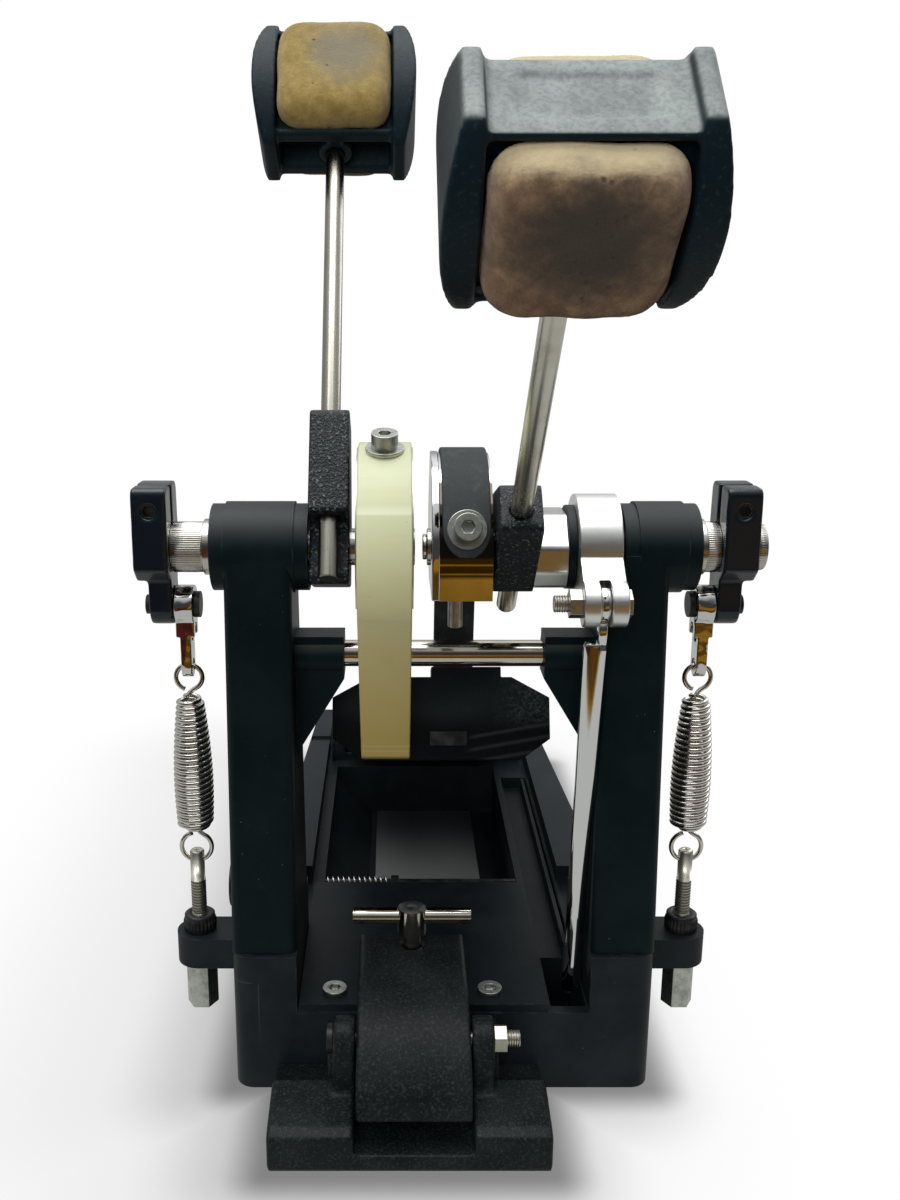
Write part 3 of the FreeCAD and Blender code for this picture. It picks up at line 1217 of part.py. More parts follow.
def right_drive():
    height = z.axle_height
    cam = Solid("right_cam_plain")
    r = z.right_cam_radius
    side = root(r * r - z.right_cam_flat * z.right_cam_flat)
    start = z.right_cam_left
    cam.pad("YZ_Plane", start, z.right_cam_wide, [
        (side, height - z.right_cam_flat, r, 1, 1), (zero, height + r, r, 1, 1),
        (-side, height - z.right_cam_flat),
        (-z.right_cam_front_low, height - z.right_cam_low),
        (z.right_cam_rear_low, height - z.right_cam_low)])
    cam.pocket("YZ_Plane", start - z.overrun, z.right_cam_wide + z.overrun * 2,
               circles=[(zero, height, z.axle_radius + z.fit_gap)])
    cross = start + z.right_cam_wide / 2
    lean = -z.rear_screw_degrees
    cam.pocket("XY_Plane", height - z.right_cam_low - z.overrun, z.overrun + z.tip_drop,
               circles=[(z.tip_x, -z.tip_y, z.tip_radius + z.fit_gap)])
    bored("right_cam", cam.body, "Y", -r - z.overrun, z.strap_screw_long - r, cross, lean,
          z.screw_radius + z.fit_gap)
    plate = Solid("cam_side_plate")
    plate_x = start - z.side_plate_thick - z.fit_gap
    rp = z.side_plate_radius
    wide = root(rp * rp - z.right_cam_flat * z.right_cam_flat)
    plate.pad("YZ_Plane", plate_x, z.side_plate_thick, [
        (z.cam_hub, height - z.right_cam_flat), (z.cam_hub, height + z.cam_hub),
        (zero, height + rp, rp, 1, 1),
        (-wide, height - z.right_cam_flat), (-z.right_cam_front_low, height - z.right_cam_low),
        (zero, height - z.right_cam_low)])
    plate.pocket("YZ_Plane", plate_x - z.overrun, z.side_plate_thick + z.overrun * 2,
                 circles=[(zero, height, z.axle_radius + z.fit_gap)])
    plate.keep()
    tip = bar("cam_set_screw", "Z", z.tip_radius, height - z.right_cam_low - z.tip_drop,
              height - z.right_cam_low + z.tip_drop - z.fit_gap, z.tip_x, -z.tip_y)
    foot = board_point(z.return_slot_back, z.return_strap_rise)
    inner = r + z.strap_gap
    length, hang = strap_run(foot, inner + z.strap_thick / 2, 1)
    strap_x = cross - z.right_strap_wide / 2
    strap_arc("rear_strap_wrap", strap_x, z.right_strap_wide, inner, hang,
              z.half_turn_degrees - z.rear_wrap_short_degrees, "Y", lean)
    run = doc.addObject("Part::Box", "rear_strap_run")
    bind(run, "Length", z.right_strap_wide)
    bind(run, "Width", z.strap_thick)
    bind(run, "Height", length - z.strap_gap)
    put(run, -z.right_strap_wide / 2, -z.strap_thick / 2, zero)
    placed = doc.addObject("Part::Compound", "rear_strap_placed")
    placed.Links = [run]
    lean_to(placed, cross, foot[0], foot[1], hang)
    keep("rear_strap", placed)
    seat = -(inner + z.strap_thick + z.strap_gap)
    screw = cap_screw("rear_strap_bolt", "Y", -1, zero, seat - z.washer_thick, zero, z.strap_screw_long,
                      z.cap_head_tall)
    disc = bar("rear_washer_disc", "Y", z.washer_radius, seat - z.washer_thick, seat, zero, zero)
    hole = bar("rear_washer_hole", "Y", z.screw_radius + z.fit_gap, seat - z.overrun, seat + z.overrun, zero,
               zero)
    pair = group("rear_strap_screw_pair", screw, cut("rear_washer", disc, hole))
    tilt(pair, cross, lean)
    keep("rear_strap_screw", group("rear_strap_screw", pair, tip))
    print("rear strap", round(foot[0].value, 2), round(foot[1].value, 2), round(length.value, 2),
          round(hang.value, 2))


def right_link():
    height = z.axle_height
    hub = Solid("right_hub")
    hub.pad("YZ_Plane", z.hub_left, z.hub_right - z.hub_left, [
        (-z.hub_side, height - z.hub_top), (z.hub_side, height - z.hub_top), (z.hub_back, height),
        (z.hub_side, height + z.hub_top), (-z.hub_brow, height + z.hub_top),
        (-z.hub_back, height + z.hub_nose),
        (-z.hub_back, height - z.hub_chin)])
    hub.pocket("YZ_Plane", z.hub_left - z.overrun, z.hub_right,
               circles=[(zero, height, z.axle_radius + z.fit_gap)])
    hub.fillet(z.hub_round, lambda e: runs_along(e, "x"))
    hub.keep()
    collar = Solid("link_collar")
    long = z.link_collar_right - z.link_collar_left
    pin_y, pin_z = -z.link_pin_front, height - z.link_pin_drop
    collar.pad("YZ_Plane", z.link_collar_left, long, circles=[(zero, height, z.link_collar_radius)])
    collar.pad("YZ_Plane", z.link_collar_left, long, [
        (-z.link_ear_root_y, height - z.link_ear_root_z), (-z.link_ear_root_z, height + z.link_ear_top_z),
        (pin_y, pin_z + z.link_ear_half, z.link_ear_half, 1, 0), (pin_y, pin_z - z.link_ear_half)])
    collar.pocket("YZ_Plane", z.link_collar_left - z.overrun, long + z.overrun * 2,
                  circles=[(zero, height, z.liner_radius + z.fit_gap)])
    collar.pocket("YZ_Plane", z.link_collar_left - z.overrun, long + z.overrun * 2,
                  circles=[(pin_y, pin_z, z.link_pin_radius + z.fit_gap)])
    middle = (z.link_collar_left + z.link_collar_right) / 2
    room = z.link_tongue / 2 + z.seat_gap
    collar.pocket("XY_Plane", pin_z - z.link_ear_half * 2, z.link_ear_half * 2 + z.link_slot_top, rectangle(
        middle - room, pin_y - z.link_ear_half * 2, middle + room, -z.link_ear_root_z - z.seat_gap))
    collar.keep()
    liner = fuse("liner_blank", bar("liner_tube", "X", z.liner_radius, z.link_collar_left,
                                    z.link_collar_right, zero, height),
                 bar("liner_flange", "X", z.liner_flange_radius, z.hub_right + z.fit_gap, z.link_collar_left,
                     zero, height))
    bore = bar("liner_bore", "X", z.axle_radius + z.fit_gap, z.hub_left, z.link_collar_right + z.overrun,
               zero, height)
    keep("collar_liner", cut("collar_liner", liner, bore))
    bolt = fuse("link_bolt_whole", bar("link_bolt_shank", "X", z.link_pin_radius, z.link_bolt_left,
                                 z.link_collar_right + z.fit_gap, pin_y, pin_z),
                hexagon("link_bolt_head", "X", z.link_nut_radius, z.link_collar_right,
                        z.link_collar_right + z.link_head_tall,
                        pin_y, pin_z))
    nut = cut("link_nut",
              hexagon("link_nut_blank", "X", z.link_nut_radius, z.link_collar_left - z.link_nut_thick,
                                  z.link_collar_left, pin_y, pin_z),
              bar("link_nut_hole", "X", z.link_pin_radius + z.fit_gap, z.link_bolt_left,
                  z.link_collar_left + z.overrun,
                  pin_y, pin_z))
    keep("link_bolt", group("link_bolt_pair", bolt, nut))
    # The link is drawn about its pin and then leaned so that its tip hangs in the base slot.
    link = Solid("pull_link")
    tongue = z.link_tongue / 2
    link.pad("YZ_Plane", -tongue, z.link_tongue, circles=[(zero, zero, z.link_eye_radius)])
    half = z.link_thick / 2
    link.pad("YZ_Plane", -tongue, z.link_tongue, rectangle(-half, -z.link_shoulder - half, half, zero))
    tip = pin_z - z.link_tip_height
    link.pad("XZ_Plane", -half, z.link_thick, [
        (-z.link_half_top - z.link_top_shift, -z.link_shoulder), (-z.link_half_low - z.link_tip_shift, -tip),
        (z.link_half_low - z.link_tip_shift, -tip), (z.link_half_top - z.link_top_shift, -z.link_shoulder)])
    link.pocket("YZ_Plane", -z.link_tongue, z.link_tongue * 2,
                circles=[(zero, zero, z.link_pin_radius + z.running_gap)])
    lean_to(link.body, middle, pin_y, pin_z, z.link_lean_degrees)
    link.keep()


def footboard():
    board = Solid("footboard")
    toe = -z.board_long
    half = z.board_half_thick
    board.pad("XY_Plane", -half, half * 2, rectangle(-z.board_half, toe, z.board_half, -z.board_clear))
    knuckle = z.hinge_ear_in - z.seat_gap
    board.pad("XY_Plane", -half, half * 2,
              rectangle(-knuckle + z.overrun, -z.board_clear - z.overrun, knuckle - z.overrun, zero))
    board.pad("YZ_Plane", -knuckle, knuckle * 2, circles=[(zero, zero, z.knuckle_radius)])
    board.pad("XZ_Plane", z.board_long - z.toe_deep, z.toe_deep, [
        (-z.board_half, half), (-z.board_half, -z.toe_side_low), (-z.toe_low_half, -z.toe_low),
        (z.toe_low_half, -z.toe_low), (z.board_half, -z.toe_side_low), (z.board_half, half)])
    board.pad("XZ_Plane", z.board_long - z.toe_rise_deep, z.toe_rise_deep, [
        (-z.board_half, zero), (z.board_half, zero), (z.board_half, z.toe_rise - z.toe_brow),
        (z.toe_top_half, z.toe_rise),
        (-z.toe_top_half, z.toe_rise), (-z.board_half, z.toe_rise - z.toe_brow)])
    board.pad("XY_Plane", zero, z.hump_tall, rectangle(-z.hump_left, toe, z.hump_right, toe + z.hump_deep))
    for side in (-1, 1):
        left, right = sided(side, z.rib_x - z.rib_half, z.rib_x + z.rib_half)
        board.pad("XY_Plane", -z.rib_low, z.rib_low,
                  rectangle(left, toe + z.toe_deep / 2, right, -z.board_clear - z.overrun * 2))
    for step in range(-3, 4):
        x = z.groove_space * step
        board.pocket("XY_Plane", half - z.groove_deep, z.overrun, rectangle(
            x - z.groove_half, -z.groove_front, x + z.groove_half, -z.groove_rear))
    board.pocket("YZ_Plane", -z.board_half - z.overrun, (z.board_half + z.overrun) * 2,
                 circles=[(zero, zero, z.hinge_pin_radius + z.running_gap)])
    plate = block("toe_plate_box", (-z.toe_plate_left, toe - z.plate_thick, -z.toe_plate_low),
                  (z.toe_plate_right, toe, -z.toe_plate_high))
    placed = doc.addObject("Part::Compound", "toe_plate_placed")
    placed.Links = [plate]
    for item in (board.body, placed):
        lean_to(item, zero, z.hinge_y, z.hinge_z, -z.board_slope)
    board.keep()
    keep("toe_plate", placed)


def hoop_clamp():
    foot = Solid("clamp_foot")
    wide = z.foot_left + z.foot_right
    foot.pad("YZ_Plane", -z.foot_left, wide, [
        (-z.foot_front, zero), (-z.base_front, zero), (-z.base_front, z.foot_back_high),
        (-z.foot_back, z.foot_back_high),
        (-z.foot_wall_low, z.foot_wall_step), (-z.foot_lip_back, z.foot_lip_high),
        (-z.foot_front, z.foot_lip_low)])
    edge = z.arm_gap + z.clamp_ear_thick + z.foot_block_set
    foot.pad("YZ_Plane", -z.arm_left - edge, z.arm_left + z.arm_right + edge * 2, [
        (-z.foot_back, z.foot_recess_floor), (-z.base_front, z.foot_recess_floor),
        (-z.base_front, z.foot_wall_high),
        (-z.foot_wall, z.foot_wall_high), (-z.foot_back, z.foot_back_high)])
    for start in (-z.arm_left - z.arm_gap - z.clamp_ear_thick, z.arm_right + z.arm_gap):
        foot.pad("YZ_Plane", start, z.clamp_ear_thick, [
            (-z.clamp_pin_y - z.clamp_ear_radius, z.foot_lip_low), (-z.foot_wall, z.foot_lip_low),
            (-z.clamp_pin_y + z.clamp_ear_radius, z.clamp_pin_z, z.clamp_ear_radius, 1, 0),
            (-z.clamp_pin_y - z.clamp_ear_radius, z.clamp_pin_z)])
    foot.pocket("XY_Plane", z.foot_recess_floor, z.clamp_pin_z, rectangle(
        -z.arm_left - z.arm_gap, -z.foot_front - z.overrun, z.arm_right + z.arm_gap, -z.foot_recess_rear))
    foot.pocket("YZ_Plane", -z.foot_left - z.overrun, wide + z.overrun * 2,
                circles=[(-z.clamp_pin_y, z.clamp_pin_z, z.clamp_bolt_radius + z.fit_gap)])
    foot.keep()
    left = -z.arm_left - z.arm_gap - z.clamp_ear_thick
    right = z.arm_right + z.arm_gap + z.clamp_ear_thick
    tail = right + z.clamp_nut_thick + z.clamp_bolt_tail
    y, height = -z.clamp_pin_y, z.clamp_pin_z
    bolt = fuse("clamp_bolt",
                bar("clamp_bolt_shank", "X", z.clamp_bolt_radius, left - z.fit_gap, tail, y, height),
                bar("clamp_bolt_head", "X", z.clamp_nut_radius, left - z.clamp_head_tall, left, y, height))
    nut = cut("clamp_nut", hexagon("clamp_nut_blank", "X", z.clamp_nut_radius, right,
                                   right + z.clamp_nut_thick, y, height),
              bar("clamp_nut_hole", "X", z.clamp_bolt_radius + z.fit_gap, right - z.overrun,
                  tail + z.overrun, y, height))
    keep("clamp_pivot_bolt", group("clamp_pivot_bolt", bolt, nut))
    arm = Solid("clamp_arm")
    arm.pad("YZ_Plane", -z.arm_left, z.arm_left + z.arm_right, [
        (-z.arm_tip_y, z.arm_tip_z), (-z.arm_jaw_y, z.arm_tip_z), (-z.arm_throat_y, z.arm_throat_z),
        (-z.arm_heel_y, z.arm_heel_z), (-z.arm_under_y, z.arm_under_z), (z.arm_rear, z.arm_under_z),
        (z.arm_rear, z.arm_top_z), (-z.arm_top_y, z.arm_top_z, z.arm_back_arc, 1, 1),
        (-z.arm_nose_y, z.arm_nose_z)])
    arm.pocket("YZ_Plane", -z.arm_left - z.overrun, z.arm_left + z.arm_right + z.overrun * 2,
               circles=[(y, height, z.clamp_bolt_radius + z.running_gap)])
    arm.pocket("XY_Plane", z.arm_under_z - z.overrun, z.arm_top_z, circles=[
        (-z.tee_x, -z.tee_y, z.tee_radius + z.running_gap)])
    arm.fillet(z.holder_round, lambda e: runs_along(e, "x") and (
        passes(e, y=-z.arm_nose_y, z=z.arm_nose_z) or passes(e, y=z.arm_rear, z=z.arm_top_z)))
    arm.keep()
    low = z.deck_height + z.deck_thick + z.seat_gap
    shank = bar("tee_shank", "Z", z.tee_radius, low, z.tee_head_low + z.fit_gap, -z.tee_x, -z.tee_y)
    top = bar("tee_top", "Z", z.tee_head_radius, z.tee_head_low, z.tee_head_high, -z.tee_x, -z.tee_y)
    hole = bar("tee_hole", "X", z.tee_bar_radius + z.fit_gap, -z.tee_x - z.tee_bar_half,
               -z.tee_x + z.tee_bar_half,
               -z.tee_y, z.tee_bar_height)
    screw = cut("tee_screw", fuse("tee_blank", shank, top), hole)
    cross = bar("tee_bar", "X", z.tee_bar_radius, -z.tee_x - z.tee_bar_half, -z.tee_x + z.tee_bar_half,
                -z.tee_y, z.tee_bar_height)
    keep("clamp_screw", group("clamp_screw", screw, cross))


def latch():
    rod = bar("latch_shaft", "X", z.latch_radius, -z.latch_left, z.latch_right, z.latch_y, z.latch_z)
    knob = bar("latch_knob", "X", z.latch_knob_radius, -z.latch_left, -z.latch_knob_in, z.latch_y, z.latch_z)
    collar = bar("latch_collar", "X", z.latch_collar_radius, -z.latch_collar_x,
                 -z.latch_collar_x + z.latch_collar_thick,
                 z.latch_y, z.latch_z)
    keep("latch_rod", fuse("latch_rod", rod, knob, collar))


# a chord whose arc rises less than this part of it counts as straight
flat_share = 1e-7


def biarc(first, first_way, last, last_way):
    # Two arcs that leave one point and reach the next along the given directions.
    span = last - first
    ways = first_way + last_way
    slope = first_way.dot(last_way) - 1
    if abs(slope) < Part.Precision.angular():
        reach = span.dot(span) / (span.dot(ways) * 2)
    else:
        plain = span.dot(ways)
        reach = (plain - math.sqrt(plain * plain - slope * 2 * span.dot(span))) / (slope * 2)
    corner_a = first + first_way * reach
    corner_b = last - last_way * reach
    joint = (corner_a + corner_b) * 0.5
    arcs = []
    for a, corner, b in ((first, corner_a, joint), (joint, corner_b, last)):
        middle = (a + b) * 0.5
        rise = corner - middle
        half = (b - a).Length / 2
        if rise.Length < half * flat_share:
            arcs.append(Part.LineSegment(a, b).toShape())
            continue
        bend = half * math.tan(math.atan2(rise.Length, half) / 2)
        arcs.append(Part.Arc(a, middle + rise.normalize() * bend, b).toShape())
    return arcs


# points measured on each arc of a wire, and how many radii along it two of them lie before they can touch
spots_each = 6
apart_share = 8


def tube(name, wire_radius, stations, placing):
    # A round wire swept along arcs through the stations, each a point and its direction.
    first, first_way = stations[0]
    last, last_way = stations[-1]
    edges = [Part.LineSegment(first - first_way * (wire_radius * 2), first).toShape()]
    for (a, way_a), (b, way_b) in zip(stations, stations[1:]):
        edges.extend(biarc(a, way_a, b, way_b))
    edges.append(Part.LineSegment(last, last + last_way * (wire_radius * 2)).toShape())
    path = Part.Wire(edges)
    spots = []
    for edge in edges:
        start, end = edge.FirstParameter, edge.LastParameter
        spots.extend(edge.valueAt(start + (end - start) * step / spots_each) for step in range(spots_each))
    lengths = [0.0]
    for a, b in zip(spots, spots[1:]):
        lengths.append(lengths[-1] + a.distanceToPoint(b))
    least = min(a.distanceToPoint(b) for i, a in enumerate(spots) for j, b in enumerate(spots)
                if lengths[j] - lengths[i] > wire_radius * apart_share)
    print(name, "least gap to itself", round(least - wire_radius * 2, 2))
    profile = Part.Wire([Part.Circle(edges[0].Vertexes[0].Point, first_way, wire_radius).toShape()])
    item = doc.addObject("Part::Feature", name)
    item.Shape = path.makePipeShell([profile], True, False)
    item.Placement = placing
    return item


def spring(word, side):
    low, high = z.coil_low.value, z.coil_high.value
    turns = round((high - low) / z.coil_pitch.value)
    lower = z.low_loop_radius.value
    upper = z.top_loop_radius.value
    low_centre = z.low_loop_height.value
    top_centre = z.top_loop_height.value
    stations = []

    def ring(centre, radius, degrees):
        angle = math.radians(degrees)
        spot = FreeCAD.Vector(radius * math.cos(angle), 0, centre + radius * math.sin(angle))
        return spot, FreeCAD.Vector(-math.sin(angle), 0, math.cos(angle))

    def coil(turn):
        # The barrel widens from its lower end to a third of the way up, then narrows to the hook.
        share = turn / turns
        wide_share = 0.35
        if share < wide_share:
            blend = math.sin(share / wide_share * math.pi / 2)
            radius = z.coil_radius_low.value + (z.coil_radius_mid.value - z.coil_radius_low.value) * blend
        else:
            blend = math.cos((share - wide_share) / (1 - wide_share) * math.pi / 2)
            radius = z.coil_radius_high.value + (z.coil_radius_mid.value - z.coil_radius_high.value) * blend
        angle = math.pi * (2 * turn + 0.5)
        return FreeCAD.Vector(radius * math.cos(angle), radius * math.sin(angle), low + (high - low) * share)

    def coil_way(turn):
        step_share = 0.001
        return (coil(turn + step_share) - coil(turn - step_share)).normalize()

    low_ring_degrees = (110, 180, 270, 360)
    top_ring_degrees = (0, 90, 180, 250)
    for degrees in low_ring_degrees:
        stations.append(ring(low_centre, lower, degrees))
    for half_turn in range(turns * 2 + 2):
        turn = half_turn / 2
        stations.append((coil(turn), coil_way(turn)))
    for degrees in top_ring_degrees:
        stations.append(ring(top_centre, upper, degrees))
    placing = FreeCAD.Placement(FreeCAD.Vector(z.spring_reach.value * side, 0, 0), FreeCAD.Rotation())
    keep(word + "_spring", tube(word + "_spring", z.wire_radius.value, stations, placing))


def latch_spring():
    turns = 10
    wire = z.latch_wire.value
    start = -z.tray_left.value + wire * 2
    end = -z.latch_collar_x.value - wire * 2
    radius = z.latch_coil_radius.value
    stations = []
    for half_turn in range(turns * 2 + 1):
        angle = math.pi * half_turn
        spot = FreeCAD.Vector(start + (end - start) * half_turn / (turns * 2), radius * math.cos(angle),
                              radius * math.sin(angle))
        way = FreeCAD.Vector((end - start) / (turns * 2 * math.pi), -radius * math.sin(angle),
                             radius * math.cos(angle))
        stations.append((spot, way.normalize()))
    placing = FreeCAD.Placement(FreeCAD.Vector(0, z.latch_y.value, z.latch_z.value), FreeCAD.Rotation())
    keep("latch_spring", tube("latch_spring", wire, stations, placing))


base_frame()
plates()
tower("left_tower", -1, z.left_housing_in, z.left_housing_out)
tower("right_tower", 1, z.right_housing_in, z.right_housing_out)
frame_pieces()
rocker("left", -1, z.left_rocker_in)
rocker("right", 1, z.right_rocker_in)
axles()
for word, x, lean, reach in (("left", -z.left_rod_x, -z.left_lean_degrees, z.left_beater_reach),
                             ("right", z.right_rod_x, z.right_lean_degrees, z.right_beater_reach)):
    holder(word, x, lean, reach)
    head(word, x, lean, reach)
    felts(word, x, lean, reach)
left_drive()
right_drive()
right_link()
footboard()
hoop_clamp()
latch()
for word, side in (("left", -1), ("right", 1)):
    spring(word, side)
latch_spring()

doc.recompute()
for item in doc.Objects:
    if "Invalid" in item.State or "Error" in item.State:
        raise ValueError("bad state on " + item.Name)
os.makedirs("parts", exist_ok=True)
for name, item in pieces:
    if item.Shape.isNull() or not item.Shape.isValid():
        raise ValueError("bad shape on " + name)
    item.Shape.exportStep("parts/%s.step" % name)
print("pieces", len(pieces))
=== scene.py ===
import json
import math

import bpy
import bmesh
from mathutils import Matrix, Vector, noise

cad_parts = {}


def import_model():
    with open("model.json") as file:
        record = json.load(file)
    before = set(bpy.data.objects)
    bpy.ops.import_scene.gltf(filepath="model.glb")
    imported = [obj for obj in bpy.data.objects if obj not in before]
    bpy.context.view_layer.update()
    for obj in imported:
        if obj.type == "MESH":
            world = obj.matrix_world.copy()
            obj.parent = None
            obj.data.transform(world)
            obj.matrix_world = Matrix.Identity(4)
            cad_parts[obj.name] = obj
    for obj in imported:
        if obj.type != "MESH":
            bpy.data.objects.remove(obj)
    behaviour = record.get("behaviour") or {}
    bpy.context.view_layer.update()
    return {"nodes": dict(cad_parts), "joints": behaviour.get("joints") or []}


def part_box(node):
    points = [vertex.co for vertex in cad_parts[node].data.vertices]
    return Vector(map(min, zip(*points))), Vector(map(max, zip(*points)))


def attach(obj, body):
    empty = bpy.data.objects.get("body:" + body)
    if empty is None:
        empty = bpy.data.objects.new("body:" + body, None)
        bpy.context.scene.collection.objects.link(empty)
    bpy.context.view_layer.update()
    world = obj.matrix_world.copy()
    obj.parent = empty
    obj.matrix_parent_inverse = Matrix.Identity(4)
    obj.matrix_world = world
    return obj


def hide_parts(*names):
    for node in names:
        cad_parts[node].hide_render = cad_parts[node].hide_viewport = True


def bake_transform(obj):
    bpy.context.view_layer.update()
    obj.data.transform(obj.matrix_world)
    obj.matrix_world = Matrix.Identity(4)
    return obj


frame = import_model()
nodes = frame["nodes"]
pivots = {j["name"]: Vector(j["pos_m"]) for j in frame["joints"] if "pos_m" in j}
axle = pivots["left_axle_turn"]
mm = 0.001
right = Vector((1, 0, 0))
up = Vector((0, 0, 1))
print("frame loaded:", len(nodes), "nodes")


# Shader graphs

class Sock:
    def __init__(self, graph, socket):
        self.graph = graph
        self.socket = socket

    def sum(self, operation, first, second):
        return self.graph.node("ShaderNodeMath", {"operation": operation}, {0: first, 1: second})

    def __add__(self, other):
        return self.sum("ADD", self, other)

    def __radd__(self, other):
        return self.sum("ADD", other, self)

    def __sub__(self, other):
        return self.sum("SUBTRACT", self, other)

    def __rsub__(self, other):
        return self.sum("SUBTRACT", other, self)

    def __mul__(self, other):
        return self.sum("MULTIPLY", self, other)

    def __rmul__(self, other):
        return self.sum("MULTIPLY", other, self)

    def __truediv__(self, other):
        return self.sum("DIVIDE", self, other)

    def __rtruediv__(self, other):
        return self.sum("DIVIDE", other, self)


class Graph:
    def __init__(self, tree):
        self.tree = tree

    def node(self, kind, settings=None, inputs=None, output=0):
        item = self.tree.nodes.new(kind)
        for key, value in (settings or {}).items():
            setattr(item, key, value)
        for key, value in (inputs or {}).items():
            self.feed(item.inputs[key], value)
        return Sock(self, item.outputs[output])

    def feed(self, socket, value):
        if isinstance(value, Sock):
            self.tree.links.new(value.socket, socket)
        elif socket.type == "RGBA" and len(value) == 3:
            socket.default_value = (*value, 1)
        else:
            socket.default_value = value

    def spot(self):
        return self.node("ShaderNodeTexCoord", output="Object")

    def split(self, vector, axis):
        return self.node("ShaderNodeSeparateXYZ", None, {0: vector}, axis)

    def places(self):
        spot = self.spot()
        return [self.split(spot, axis) for axis in "XYZ"]

    def vectors(self, operation, first, second=(0, 0, 0), output=0):
        return self.node("ShaderNodeVectorMath", {"operation": operation}, {0: first, 1: second}, output)

    def stretch(self, vector, scale):
        return self.vectors("MULTIPLY", vector, scale)

    def apart(self, first, second):
        return self.vectors("DISTANCE", first, second, "Value")

    def wave(self, value, half):
        return self.node("ShaderNodeMath", {"operation": "PINGPONG"}, {0: value, 1: half})

    def noise(self, scale, detail, rough=0.5, vector=None):
        return self.node("ShaderNodeTexNoise", None, {
            "Vector": vector or self.spot(), "Scale": scale, "Detail": detail, "Roughness": rough}, "Fac")

    def cells(self, scale):
        return self.node("ShaderNodeTexVoronoi", {"feature": "F1"}, {
            "Vector": self.spot(), "Scale": scale}, "Distance")

    def between(self, value, low, high, first=0.0, last=1.0):
        return self.node("ShaderNodeMapRange", {"clamp": True, "interpolation_type": "SMOOTHSTEP"}, {
            "Value": value, "From Min": low, "From Max": high, "To Min": first, "To Max": last})

    def patches(self, scale, detail, rough, low, high):
        return self.between(self.noise(scale, detail, rough), low, high)

    def step(self, value, edge, soft):
        # zero at the edge and one past a soft stretch; a negative stretch runs the other way
        return self.between(value, edge, edge + soft)

    def line(self, value, middle, half):
        return self.between(value, middle - half, middle) * self.between(value, middle + half, middle)

    def mix(self, share, first, second):
        return self.node("ShaderNodeMix", {"data_type": "RGBA"}, {0: share, 6: first, 7: second}, 2)


edgeLook = {"samples": 4, "worn": (0.02, 0.2)}


class Paint(Graph):
    def __init__(self, name, fixed):
        self.material = bpy.data.materials.new(name)
        self.material.use_nodes = True
        super().__init__(self.material.node_tree)
        self.shader = self.tree.nodes["Principled BSDF"]
        self.set(fixed)

    def set(self, inputs):
        for key, value in inputs.items():
            self.feed(self.shader.inputs[key], value)

    def bump(self, height, strength, distance):
        self.set({"Normal": self.node("ShaderNodeBump", None, {
            "Height": height, "Strength": strength, "Distance": distance})})

    def upward(self):
        return self.split(self.node("ShaderNodeTexCoord", output="Normal"), "Z")

    def edges(self, radius):
        # one on worn outer edges, zero on open faces
        soft = self.node("ShaderNodeBevel", {"samples": edgeLook["samples"]}, {"Radius": radius})
        plain = self.node("ShaderNodeNewGeometry", output="Normal")
        turn = self.vectors("DOT_PRODUCT", soft, plain, "Value")
        return self.between(1 - turn, *edgeLook["worn"])


# Finishes: a noise has a scale, a detail and a roughness, and patches add the range that shows

wearLook = {
    "scuff": (0.050, 0.056, 0.056), "dust": (0.30, 0.31, 0.30), "gloss": 0.15, "edge": 0.9 * mm,
    "deep": 0.16 * mm, "rough": 0.44, "depth": 0.35, "scuffed": 0.5, "specks": 0.0, "paintedTopLight": 0.0,
    "cloud": (38, 5, 0.6), "grain": (1300, 2, 0.6), "tones": (0.35, 0.7), "tops": (0.1, 0.9),
    "rub": (210, 4, 0.5, 0.42, 0.66), "smear": (70, 6, 0.65, 0.58, 0.85), "crest": (850, 2, 0.6, 0.46, 0.76),
    "flecks": 300, "fleckEdge": (0.05, 0.03), "fleckArea": (26, 2, 0.5, 0.60, 0.66),
    "smearShare": 0.10, "fleckShare": 0.7, "grainShare": 0.16, "cloudShare": 0.12,
}
mouldedLooks = {
    # what each moulding has of its own
    # the towers' upward faces are lightened as painted top light
    "tower": {"dark": (0.0010, 0.0044, 0.0056), "pale": (0.0024, 0.0066, 0.0080), "paintedTopLight": 0.5},
    "base": {"dark": (0.0050, 0.0078, 0.0098), "pale": (0.0105, 0.0138, 0.0160)},
    "board": {"dark": (0.0030, 0.0050, 0.0060), "pale": (0.0066, 0.0092, 0.0104)},
    "clamp": {"dark": (0.0024, 0.0042, 0.0046), "pale": (0.0072, 0.0094, 0.0096),
              "rough": 0.42, "depth": 0.6, "scuffed": 0.8, "specks": 0.30},
    "deck": {"dark": (0.0034, 0.0060, 0.0078), "pale": (0.0075, 0.0105, 0.0128),
             "rough": 0.42, "depth": 0.3},
}


def mouldedBlack(tone, detail=None):
    look = {**wearLook, **mouldedLooks[tone]}
    paint = Paint("moulded_" + tone, {"Specular IOR Level": look["gloss"]})
    cloud = paint.noise(*look["cloud"])
    grain = paint.noise(*look["grain"])
    rub = paint.edges(look["edge"]) * paint.patches(*look["rub"]) * look["scuffed"]
    smear = paint.patches(*look["smear"]) * look["smearShare"]
    crest = paint.patches(*look["crest"]) * look["specks"]
    fleck = paint.between(paint.cells(look["flecks"]), *look["fleckEdge"])
    fleck = fleck * paint.patches(*look["fleckArea"])
    colour = paint.mix(paint.between(cloud, *look["tones"]), look["dark"], look["pale"])
    colour = paint.mix(rub + smear + crest, colour, look["scuff"])
    # upward faces mix towards the scuff colour: painted top light
    colour = paint.mix(paint.between(paint.upward(), *look["tops"]) * look["paintedTopLight"], colour, look["scuff"])
    colour = paint.mix(fleck * look["fleckShare"], colour, look["dust"])
    if detail:
        colour = detail(paint, colour)
    uneven = look["grainShare"] * (grain - 0.5) + look["cloudShare"] * (cloud - 0.5)
    paint.set({"Base Color": colour, "Roughness": look["rough"] + uneven})
    paint.bump(grain, look["depth"], look["deep"])
    return paint.material


